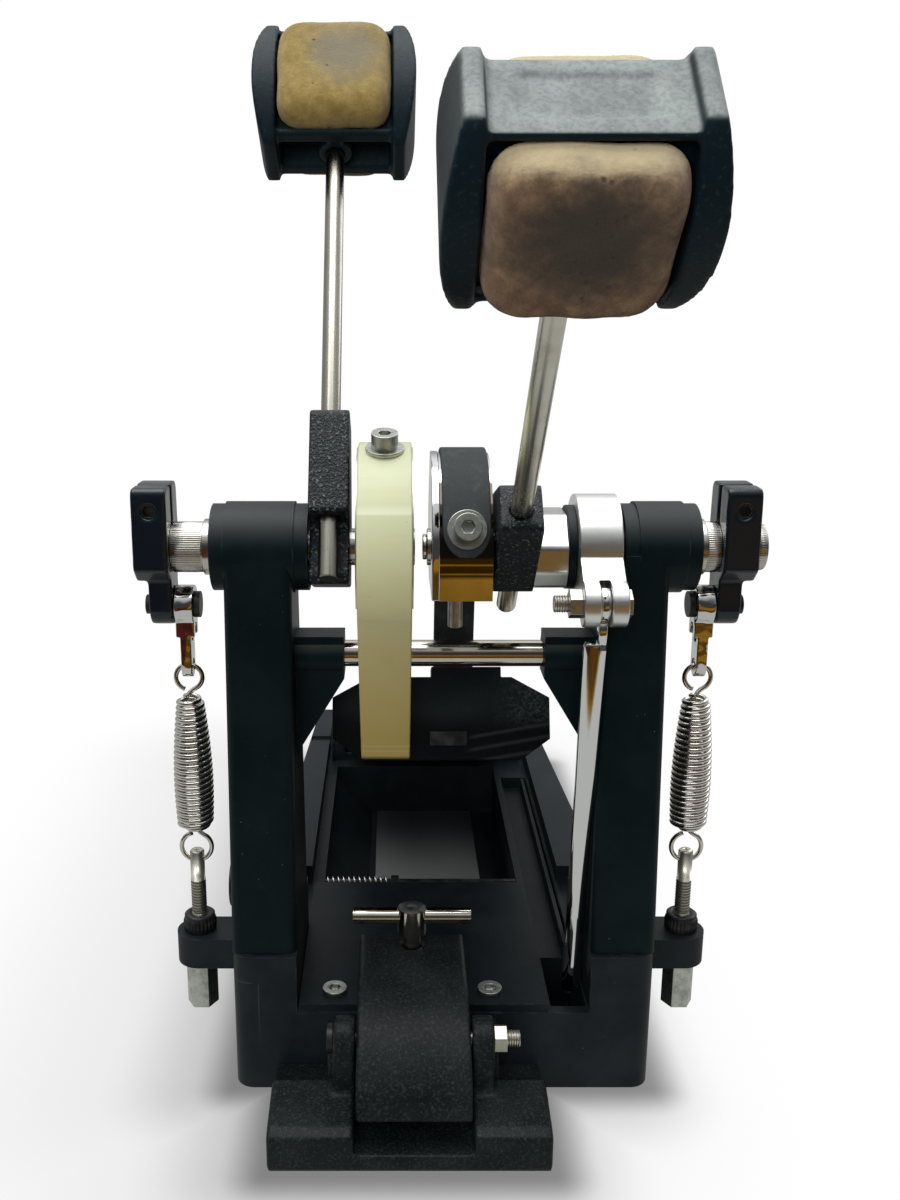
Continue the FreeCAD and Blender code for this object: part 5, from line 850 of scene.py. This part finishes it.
def springLoop(x, centre, radius, arc):
    angles = [math.radians(degrees) for degrees in range(*arc, springSize["arcStep"])]
    return [Vector((x + radius * math.cos(a), 0, centre + radius * math.sin(a))) for a in angles]


def coilRadius(share, turn):
    # widest at wideShare of the way up, and drawn in over the first and last turn
    size = springSize
    wide, neck = size["wideShare"], size["neckShare"]
    if share < wide:
        swell = math.sin(share / wide * math.pi / 2)
        radius = size["low"] + (size["middle"] - size["low"]) * swell
    else:
        swell = math.cos((share - wide) / (1 - wide) * math.pi / 2)
        radius = size["top"] + (size["middle"] - size["top"]) * swell
    return radius * min(1.0, neck + (1 - neck) * min(turn, size["turns"] - turn))


def springLine(x, low, high):
    size = springSize
    lowCentre = low + size["wire"] + size["lowLoop"]
    topCentre = high - size["wire"] - size["topLoop"]
    coilLow = lowCentre + size["lowLoop"] + size["lowStand"]
    coilHigh = topCentre - size["topLoop"] - size["topStand"]
    points = springLoop(x, lowCentre, size["lowLoop"], size["lowArc"])
    loopEnd = len(points)
    last = int(size["turns"] * size["steps"])
    for step in range(last + 1):
        share = step / last
        turn = step / size["steps"]
        radius = coilRadius(share, turn)
        a = 2 * math.pi * turn + math.pi / 2
        z = coilLow + (coilHigh - coilLow) * share
        points.append(Vector((x + radius * math.cos(a), radius * math.sin(a), z)))
    coilEnd = len(points)
    points += springLoop(x, topCentre, size["topLoop"], size["topArc"])
    for _ in range(size["easePasses"]):     # ease the bends where the coil turns into its loops
        for middle in (loopEnd, coilEnd):
            for i in range(middle - size["easeReach"], middle + size["easeReach"]):
                points[i] = (points[i - 1] + points[i] * 2 + points[i + 1]) / 4
    return points


def springs():
    size = springSize
    for side in ("left", "right"):
        node = side + "_spring"
        low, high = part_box(node)
        x = pivots[side + "_thumb_nut_turn"].x
        wire = wireAlong(springLine(x, low.z, high.z), size["wire"], size["sides"])
        piece = makePiece(side + "_spring_wire", *wire, metals["wire"], None, "steel", [node])
        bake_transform(piece)


def latchSpring():
    size = latchSize
    low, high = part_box("latch_spring")
    wire = size["wire"]
    centre = (low + high) / 2
    radius = (high.z - low.z) / 2 - wire
    line = []
    for k in range(size["steps"] + 1):
        share = k / size["steps"]
        a = 2 * math.pi * size["turns"] * share
        line.append(Vector((low.x + wire + (high.x - low.x - 2 * wire) * share,
                            centre.y + radius * math.cos(a), centre.z + radius * math.sin(a))))
    piece = makePiece("latch_spring_wire", *wireAlong(line, wire, size["sides"]), metals["wire"],
                      None, "steel", ["latch_spring"])
    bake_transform(piece)


# Straps

strapSize = {
    "thick": 2.0 * mm, "cornerShare": 0.4, "cornerTurns": (0, 30, 60, 90), "arcSteps": 60, "runSteps": 40,
    # degrees around the cams, and how far a run reaches into the part on its cam
    "frontStart": 80, "rearEnd": 174, "lap": 1.5 * mm,
    # the rear strap hangs a little below its cam, and ends in a round tab
    "hang": 7.0 * mm, "hangShares": (1.0, 0.75, 0.5, 0.25), "tabPoints": 6, "tabShare": 0.9,
    # the number of points at each end
    "frontHold": 6, "rearHold": 8, "footHold": 4,
}


def bandAlong(points, wide, startCapped=True, tab=0):
    # a flat band across X with softly rounded edges; its last points narrow to a round tab
    size = strapSize
    corner = size["thick"] * size["cornerShare"]
    section = []
    for sx, sy, first in ((1, 1, 0), (-1, 1, 90), (-1, -1, 180), (1, -1, 270)):
        for turn in size["cornerTurns"]:
            a = math.radians(first + turn)
            section.append((sx * (wide / 2 - corner) + corner * math.cos(a),
                            sy * (size["thick"] / 2 - corner) + corner * math.sin(a)))
    rings = []
    for i, point in enumerate(points):
        out = wayAt(points, i).cross(right).normalized()
        late = max(0, i + 1 + tab - len(points)) / tab if tab else 0.0
        narrow = math.sqrt(1 - size["tabShare"] * late * late)
        rings.append([point + right * x * narrow + out * y for x, y in section])
    return skin(rings, False, startCapped)


def bandFit(node):
    # middle radius and width of the band on a cam
    low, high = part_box(node)
    return high.z - axle.z - strapSize["thick"] / 2, high.x - low.x


def leaveAngle(foot, radius, side):
    # lean of the straight run from its foot to where it meets the cam
    away, below = foot.y, axle.z - foot.z
    far = math.hypot(away, below)
    return math.degrees(math.atan2(away, below) - side * math.asin(radius / far))


def camArc(x, radius, first, last):
    steps = strapSize["arcSteps"]
    angles = [math.radians(first + (last - first) * k / steps) for k in range(steps + 1)]
    return [Vector((x, radius * math.cos(a), axle.z + radius * math.sin(a))) for a in angles]


def strapRun(side, start, foot, wide, finish, slot):
    size = strapSize
    run = [start.lerp(foot, k / size["runSteps"]) for k in range(size["runSteps"] + 1)]
    band = bandAlong(run, wide, False)
    piece = makePiece(side + "_band_run", *band, finish, None, slot, [side + "_strap"])
    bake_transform(piece)


def frontStrap():
    size = strapSize
    foot = pivots["front_strap_swing"]
    radius, wide = bandFit("front_strap_wrap")
    arc = camArc(foot.x, radius, size["frontStart"], 180 + leaveAngle(foot, radius, -1))
    piece = makePiece("front_band_on_cam", *bandAlong(arc, wide), plastics["cream"], None,
                      "cream_strap", ["front_strap_wrap"])
    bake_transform(piece)
    start = arc[-1] + (arc[-1] - foot).normalized() * size["lap"]
    strapRun("front", start, foot, wide, plastics["cream"], "cream_strap")


def rearStrap():
    size = strapSize
    foot = pivots["rear_strap_swing"]
    radius, wide = bandFit("rear_strap_wrap")
    arc = camArc(foot.x, radius, leaveAngle(foot, radius, 1), size["rearEnd"])
    down = (foot - arc[0]).normalized()
    hang = [arc[0] + down * size["hang"] * share for share in size["hangShares"]]
    band = bandAlong(hang + arc, wide, True, size["tabPoints"])
    piece = makePiece("rear_band_on_cam", *band, plastics["black"], None, "black_strap", ["rear_strap_wrap"])
    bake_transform(piece)
    strapRun("rear", hang[0] - down * size["lap"], foot, wide, plastics["black"], "black_strap")


# Pull link

linkSize = {
    "lean": 4.5, "shoulder": 15.5 * mm, "depth": 2.5 * mm, "square": 1.7, "sides": 40, "fineness": 40,
    "tongueHalf": 1.8 * mm, "tongueTop": 4.9 * mm, "tongueOver": 3 * mm, "tongueSquare": 6.0,
    "eye": 7.0 * mm, "hole": 3.4 * mm, "eyeEdge": 0.4 * mm, "eyeSteps": 48,
    # share of the way down: half width and offset across, in mm
    "stations": ((0.0, 3.9, -2.4), (0.012, 4.7, -2.4), (0.10, 4.6, -2.7), (0.40, 4.1, -3.3),
                 (0.96, 4.0, -4.3), (0.99, 3.7, -4.35), (1.0, 3.0, -4.4)),
}


def ovalBar(centres, halves, out, square):
    # rings between an ellipse and a rectangle, square to a straight bar
    size = linkSize
    rings = []
    for centre, half in zip(centres, halves):
        ring = []
        for k in range(size["sides"]):
            a = 2 * math.pi * k / size["sides"]
            c, s = math.cos(a), math.sin(a)
            ring.append(centre + right * math.copysign(abs(c) ** (2 / square) * half, c)
                        + out * math.copysign(abs(s) ** (2 / square) * size["depth"], s))
        rings.append(ring)
    return skin(rings, False)


def pullLink():
    size = linkSize
    pin = pivots["pull_link_swing"]
    lean = math.radians(size["lean"])
    down = Vector((0, math.sin(lean), -math.cos(lean)))
    out = Vector((0, -math.cos(lean), -math.sin(lean)))
    reach = (pin.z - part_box("pull_link")[0].z) / math.cos(lean) - size["depth"] * math.tan(lean)
    centres, halves = [], []
    for (a, halfA, shiftA), (b, halfB, shiftB) in zip(size["stations"], size["stations"][1:]):
        steps = max(1, round((b - a) * size["fineness"]))
        for k in range(steps + (b == 1.0)):
            share = k / steps
            along = size["shoulder"] + (reach - size["shoulder"]) * (a + (b - a) * share)
            centres.append(pin + down * along + right * (shiftA + (shiftB - shiftA) * share) * mm)
            halves.append((halfA + (halfB - halfA) * share) * mm)
    half, edge, outer = size["tongueHalf"], size["eyeEdge"], size["eye"]
    tongue = [pin + down * t for t in (size["tongueTop"], size["shoulder"] + size["tongueOver"])]
    eye = [(size["hole"], -half), (outer - edge, -half), (outer, edge - half),
           (outer, half - edge), (outer - edge, half), (size["hole"], half)]
    verts, faces = joined((ovalBar(centres, halves, out, size["square"]),
                           ovalBar(tongue, [half] * 2, out, size["tongueSquare"]),
                           turned(plain(eye), pin, right, size["eyeSteps"])))
    makePiece("rounded_pull_link", verts, faces, metals["chrome"], "pull_link", "bright_chrome",
              ["pull_link"])


# Felt pads

feltSize = {
    "voxel": 0.9 * mm, "smooth": 150, "ease": 0.5, "lump": 0.7 * mm, "lumpScale": 90, "fuzz": 0.12 * mm,
    "fuzzScale": 1100, "rearShare": 0.90, "faceDeep": 10 * mm, "fill": 0.9,
}


def smoothPad(item):
    remesh = item.modifiers.new("remesh", "REMESH")
    remesh.mode = "VOXEL"
    remesh.voxel_size = feltSize["voxel"]
    ease = item.modifiers.new("ease", "SMOOTH")
    ease.factor = feltSize["ease"]
    ease.iterations = feltSize["smooth"]
    graph = bpy.context.evaluated_depsgraph_get()
    mesh = bpy.data.meshes.new_from_object(item.evaluated_get(graph))
    item.modifiers.clear()
    item.data = mesh
    return mesh


def woolLumps(mesh, side):
    # lumps and fuzz, and a rear pad that is a little shorter
    size = feltSize
    headLow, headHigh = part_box(side + "_beater_head")
    middle = (headLow + headHigh) / 2
    along = Vector((0, middle.y - axle.y, middle.z - axle.z)).normalized()
    rear = along.cross(right)
    rear *= math.copysign(1, rear.y)
    outward = [vert.normal.copy() for vert in mesh.vertices]
    for vert, way in zip(mesh.vertices, outward):
        lump = noise.noise(vert.co * size["lumpScale"]) * size["lump"]
        fuzz = noise.noise(vert.co * size["fuzzScale"]) * size["fuzz"]
        vert.co += way * (lump + fuzz)
        if (vert.co - middle).dot(rear) > 0:
            vert.co -= along * (1 - size["rearShare"]) * (vert.co - middle).dot(along)


def felts():
    for side in ("left", "right"):
        node = side + "_beater_felts"
        item = bpy.data.objects.new(side + "_felt_pads", nodes[node].data.copy())
        bpy.context.scene.collection.objects.link(item)
        mesh = smoothPad(item)
        woolLumps(mesh, side)
        mesh.polygons.foreach_set("use_smooth", [True] * len(mesh.polygons))
        low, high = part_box(node)
        aside, height = feltLooks[side]["middle"]
        face = Vector(((0.5 - aside) * low.x + (0.5 + aside) * high.x, low.y + feltSize["faceDeep"],
                       low.z + height * (high.z - low.z)))
        mesh.materials.clear()
        mesh.materials.append(feltCloth(side, face))
        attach(item, side + "_axle")
        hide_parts(node)


# Threads, knurls and ribbed nuts

nutSize = {
    "hole": 3.4 * mm, "edge": 0.8 * mm, "ribs": 26, "ribSteps": 6, "ribDeep": 0.55 * mm, "ribTopShare": 0.62,
    "slope": 0.5 * mm, "slopeShare": 0.70, "neck": 0.6 * mm, "neckShares": (0.74, 0.92), "crown": 1.4 * mm,
}


def thumbNuts():
    size = nutSize
    for side in ("left", "right"):
        node = side + "_thumb_nut"
        low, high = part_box(node)
        outer = (high.x - low.x) / 2
        tall = high.z - low.z
        hole, edge, neck = size["hole"], size["edge"], outer - size["neck"]
        neckLow, neckHigh = (share * tall for share in size["neckShares"])
        profile = [(hole, 0, False), (outer - edge, 0, False), (outer, edge, True),
                   (outer, size["ribTopShare"] * tall, True),
                   (outer - size["slope"], size["slopeShare"] * tall, True),
                   (neck, neckLow, False), (neck, neckHigh, False),
                   (outer - size["crown"], tall, False), (hole, tall, False)]
        start = Vector((pivots[side + "_thumb_nut_turn"].x, 0, low.z))
        steps = size["ribs"] * size["ribSteps"]
        verts, faces = turned(profile, start, up, steps, size["ribs"], size["ribDeep"])
        makePiece(side + "_ribbed_nut", verts, faces, metals["oiled"], node, "black_steel", [node])


studSize = {
    "thread": (64.2 * mm, 80 * mm), "pitch": 1.35 * mm, "deep": 0.55 * mm, "rootShares": (0.15, 0.35),
    "crestShares": (0.65, 0.85), "core": 0.2 * mm, "thin": 0.2 * mm, "chamfer": 0.7 * mm, "steps": 40,
}


def studs():
    # a plain foot, a threaded middle and a plain top with a chamfer
    size = studSize
    low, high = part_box("spring_studs")
    radius = (high.y - low.y) / 2
    start, end = size["thread"]
    pitch, core, slim = size["pitch"], size["core"], radius - size["thin"]
    profile = [(core, low.z), (radius, low.z), (radius, start)]
    for k in range(round((end - start) / pitch)):
        profile += [(radius - size["deep"], start + (k + share) * pitch) for share in size["rootShares"]]
        profile += [(radius, start + (k + share) * pitch) for share in size["crestShares"]]
    profile += [(slim, end), (slim, high.z - size["chamfer"]), (slim - size["chamfer"], high.z),
                (core, high.z)]
    places = [Vector((pivots[side + "_thumb_nut_turn"].x, 0, 0)) for side in ("left", "right")]
    verts, faces = joined(turned(plain(profile), place, up, size["steps"]) for place in places)
    finish = threadSteel("stud_steel", "Z", pitch, start, end)
    makePiece("threaded_studs", verts, faces, finish, "frame", "steel", ["spring_studs"])


tailSize = {
    "long": 5.6 * mm, "radius": 3.35 * mm, "pitch": 1.0 * mm, "deep": 0.32 * mm, "rootShares": (0.1, 0.9),
    "crestShares": (0.42, 0.58), "steps": 32,
}


def boltTail(name, body, start, finishName):
    # a threaded tail that runs to the right from its start
    size = tailSize
    long, crest = size["long"], size["radius"]
    root, core = crest - size["deep"], crest - 2 * size["deep"]
    turns = round(long / size["pitch"])
    pitch = long / turns
    rise, fall = size["rootShares"]
    profile = [(core, 0), (root, 0)]
    for k in range(turns):
        profile += [(root, (k + rise) * pitch)]
        profile += [(crest, (k + share) * pitch) for share in size["crestShares"]]
        profile += [(root, (k + fall) * pitch)]
    profile += [(root, long), (core, long)]
    verts, faces = turned(plain(profile), start, right, size["steps"])
    finish = threadSteel(finishName, "X", size["pitch"], start.x, start.x + long)
    makePiece(name, verts, faces, finish, body)


def boltTails():
    low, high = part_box("link_bolt")
    middle = (low + high) / 2
    boltTail("link_bolt_thread", "right_axle", Vector((low.x, middle.y, middle.z)), "link_thread")
    low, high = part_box("clamp_pivot_bolt")
    middle = (low + high) / 2
    start = Vector((high.x - tailSize["long"], middle.y, middle.z))
    boltTail("clamp_bolt_thread", "frame", start, "clamp_thread")


teeSize = {"core": 0.2 * mm, "edge": 0.35 * mm, "sunk": 0.3 * mm, "rim": 0.02 * mm, "crown": 0.22 * mm,
           "steps": 48}


def teeTop():
    size = teeSize
    low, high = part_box("clamp_screw")
    centre = Vector((pivots["clamp_screw_turn"].x, (low.y + high.y) / 2, high.z))
    radius = (high.y - low.y) / 2 - size["edge"]
    profile = [(size["core"], -size["sunk"]), (radius, -size["sunk"]), (radius, size["rim"]),
               (size["core"], size["crown"])]
    verts, faces = turned(plain(profile), centre, up, size["steps"])
    makePiece("tee_screw_top", verts, faces, turnedSteel(centre), "clamp_screw", "steel")


knurlSize = {
    "ribSteps": 4,
    "axle": {"radius": 10.25 * mm, "core": 8.5 * mm, "edge": 0.5 * mm, "ribs": 72, "deep": 0.4 * mm,
             "fromTower": 3.7 * mm, "fromRocker": 0.1 * mm},
    "cap": {"radius": 9.45 * mm, "core": 7.5 * mm, "edge": 0.7 * mm, "ribs": 60, "deep": 0.45 * mm,
            "fromRocker": 0.1 * mm},
}


def knurls():
    # straight knurling between each tower and its rocker, and on the right axle's cap
    size = knurlSize["axle"]
    radius, core, edge = size["radius"], size["core"], size["edge"]
    for side, sign, outer, inner in (("left", -1, 0, 1), ("right", 1, 1, 0)):
        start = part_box(side + "_tower")[outer].x + sign * size["fromTower"]
        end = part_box(side + "_rocker")[inner].x - sign * size["fromRocker"]
        long = abs(end - start)
        profile = [(core, 0, False), (radius - edge, 0, False), (radius, edge, True),
                   (radius, long - edge, True), (radius - edge, long, False), (core, long, False)]
        verts, faces = turned(profile, Vector((start, 0, axle.z)), right * sign,
                              size["ribs"] * knurlSize["ribSteps"], size["ribs"], size["deep"])
        makePiece(side + "_axle_knurl", verts, faces, metals["steel"], side + "_axle")
    size = knurlSize["cap"]
    radius, core, edge, near = size["radius"], size["core"], size["edge"], size["fromRocker"]
    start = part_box("right_rocker")[1].x
    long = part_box("right_axle")[1].x - start
    profile = [(core, near, False), (radius, near, True), (radius, long - edge, True),
               (radius - edge, long, False), (core, long, False)]
    verts, faces = turned(profile, Vector((start, 0, axle.z)), right,
                          size["ribs"] * knurlSize["ribSteps"], size["ribs"], size["deep"])
    makePiece("axle_cap_knurl", verts, faces, metals["steel"], "right_axle")


springs()
latchSpring()
frontStrap()
rearStrap()
felts()
pullLink()
thumbNuts()
studs()
teeTop()
boltTails()
knurls()
print("soft and fine pieces made")


# Floor, light and camera

floorLook = {
    "size": 12.0, "below": 0.1 * mm, "ground": (0.16, 0.13, 0.10), "rough": 0.85, "gloss": 0.1,
    # what bright metal mirrors, painted reflections that glow only for glossy rays: a pale sheet, then
    # boards with dark gaps
    "sheet": (0.50, 0.51, 0.49), "sheetEnd": (-0.30, -0.34), "amber": (0.44, 0.225, 0.022),
    "wine": (0.11, 0.014, 0.012), "wineFrom": (-0.12, -0.24),
    "gap": (0.025, 0.012, 0.006), "gaps": (0.36, 0.60), "grain": (22, 4, 0.6), "grainLines": (6, 0.4, 1),
    "far": (-0.50, -1.0, 0.25, 1.0), "strip": (-0.37, -0.325), "stripShare": 0.8,
}
shadeLooks = (
    # outlines on the floor in mm, how far the shade reaches, how dark it is
    {"outlines": (((-130, -34), (10, 320)), ((-95, -84), (-10, -34))), "reach": 150 * mm, "dark": 0.16},
    {"outlines": (((-100, -34), (76, 320)), ((-78, -84), (36, -34))), "reach": 48 * mm, "dark": 0.32},
    {"outlines": (((-88, -34), (88, 320)), ((-70, -86), (41, -34))), "reach": 20 * mm, "dark": 0.60},
)


def nearness(paint, spot, look):
    # one at an outline on the floor, falling to zero at its reach
    share = 0.0
    for (left, front), (far, back) in look["outlines"]:
        centre = ((left + far) / 2 * mm, (front + back) / 2 * mm, 0)
        half = ((far - left) / 2 * mm, (back - front) / 2 * mm, 1)
        away = paint.vectors("ABSOLUTE", paint.vectors("SUBTRACT", spot, centre))
        away = paint.vectors("MAXIMUM", paint.vectors("SUBTRACT", away, half), (0, 0, 0))
        away = paint.vectors("LENGTH", away, output="Value")
        near = paint.between(away, look["reach"], 0.0)
        share = paint.node("ShaderNodeMath", {"operation": "MAXIMUM"}, {0: near, 1: share})
    return share


def paleFloor():
    look = floorLook
    paint = Paint("pale_floor", {"Base Color": look["ground"], "Roughness": look["rough"],
                                 "Specular IOR Level": look["gloss"]})
    spot = paint.spot()
    front = paint.split(spot, "Y")
    seen = paint.node("ShaderNodeLightPath", output="Is Camera Ray")
    shiny = paint.node("ShaderNodeLightPath", output="Is Glossy Ray")
    shade = 1.0
    for ring in shadeLooks:
        shade = (1 - ring["dark"] * nearness(paint, spot, ring)) * shade
    white = paint.node("ShaderNodeEmission", None, {"Color": paint.mix(shade, (0, 0, 0), (1, 1, 1))})
    grain = paint.noise(*look["grain"], paint.stretch(spot, look["grainLines"]))
    strip = paint.between(front, *look["strip"]) * look["stripShare"]
    lightness = paint.between(grain, *look["gaps"]) * (paint.between(front, *look["far"]) + strip)
    board = paint.mix(paint.between(paint.split(spot, "X"), *look["wineFrom"]), look["amber"], look["wine"])
    board = paint.mix(lightness, look["gap"], board)
    board = paint.mix(paint.between(front, *look["sheetEnd"]), look["sheet"], board)
    # the painted reflections glow for glossy rays only
    warm = paint.node("ShaderNodeEmission", None, {"Color": board})
    lit = Sock(paint, paint.shader.outputs[0])
    shown = paint.node("ShaderNodeMixShader", None, {0: shiny, 1: lit, 2: warm})
    shown = paint.node("ShaderNodeMixShader", None, {0: seen, 1: shown, 2: white})
    paint.feed(paint.tree.nodes["Material Output"].inputs["Surface"], shown)
    return paint.material


def floor():
    half = floorLook["size"] / 2
    corners = [(-half, -half, 0), (half, -half, 0), (half, half, 0), (-half, half, 0)]
    mesh = bpy.data.meshes.new("floor")
    mesh.from_pydata(corners, [], [(0, 1, 2, 3)])
    mesh.materials.append(paleFloor())
    item = bpy.data.objects.new("floor", mesh)
    bpy.context.scene.collection.objects.link(item)
    item.location.z = -floorLook["below"]


skyLook = {"tint": (0.96, 0.985, 1.0), "strength": 0.8, "behind": (-0.7, 0.6, 0.06, 0.50),
           "above": (0.30, 0.85), "aboveShare": 0.75}


def world():
    look = skyLook
    scene = bpy.context.scene
    scene.world = bpy.data.worlds.new("studio")
    scene.world.use_nodes = True
    graph = Graph(scene.world.node_tree)
    way = graph.node("ShaderNodeTexCoord", output="Generated")
    level = graph.between(graph.split(way, "Y"), *look["behind"])
    level = level + graph.between(graph.split(way, "Z"), *look["above"]) * look["aboveShare"]
    seen = graph.node("ShaderNodeLightPath", output="Is Camera Ray")
    sky = graph.mix(level * look["strength"], (0, 0, 0), look["tint"])
    soft = graph.node("ShaderNodeBackground", None, {"Color": sky})
    white = graph.node("ShaderNodeBackground", None, {"Color": (1, 1, 1)})
    shown = graph.node("ShaderNodeMixShader", None, {0: seen, 1: soft, 2: white})
    graph.feed(graph.tree.nodes["World Output"].inputs["Surface"], shown)


lampLooks = {
    "key": {"place": (-0.15, 0.0, 1.5), "size": 1.3, "power": 17.0, "mirrored": True},
    "fill": {"place": (-0.4, -1.5, 0.8), "size": 1.2, "power": 24.0, "mirrored": False},
    "rim": {"place": (0.9, 0.8, 0.9), "size": 0.8, "power": 4.0, "mirrored": True},
}
lampAim = Vector((0, 0, 0.2))


def lamps():
    for name, look in lampLooks.items():
        data = bpy.data.lights.new(name, "AREA")
        data.size = look["size"]
        data.energy = look["power"]
        item = bpy.data.objects.new(name, data)
        bpy.context.scene.collection.objects.link(item)
        item.location = look["place"]
        item.visible_glossy = look["mirrored"]
        item.rotation_euler = (lampAim - item.location).to_track_quat("-Z", "Y").to_euler()


viewpoint = {"place": (-21 * mm, -472 * mm, 329 * mm), "down": 14.64, "near": 10 * mm,
             # in pixels of the picture
             "focal": 1190, "centreX": 393, "wide": 900, "tall": 1200}


def camera():
    look = viewpoint
    data = bpy.data.cameras.new("camera")
    item = bpy.data.objects.new("camera", data)
    bpy.context.scene.collection.objects.link(item)
    item.location = look["place"]
    item.rotation_euler = (math.radians(90 - look["down"]), 0, 0)
    data.lens = look["focal"] / look["tall"] * data.sensor_width
    data.shift_x = (look["wide"] / 2 - look["centreX"]) / look["tall"]
    data.clip_start = look["near"]
    bpy.context.scene.camera = item


floor()
world()
lamps()
camera()
bpy.context.scene.view_settings.view_transform = "Standard"
print("stage, light and camera set")
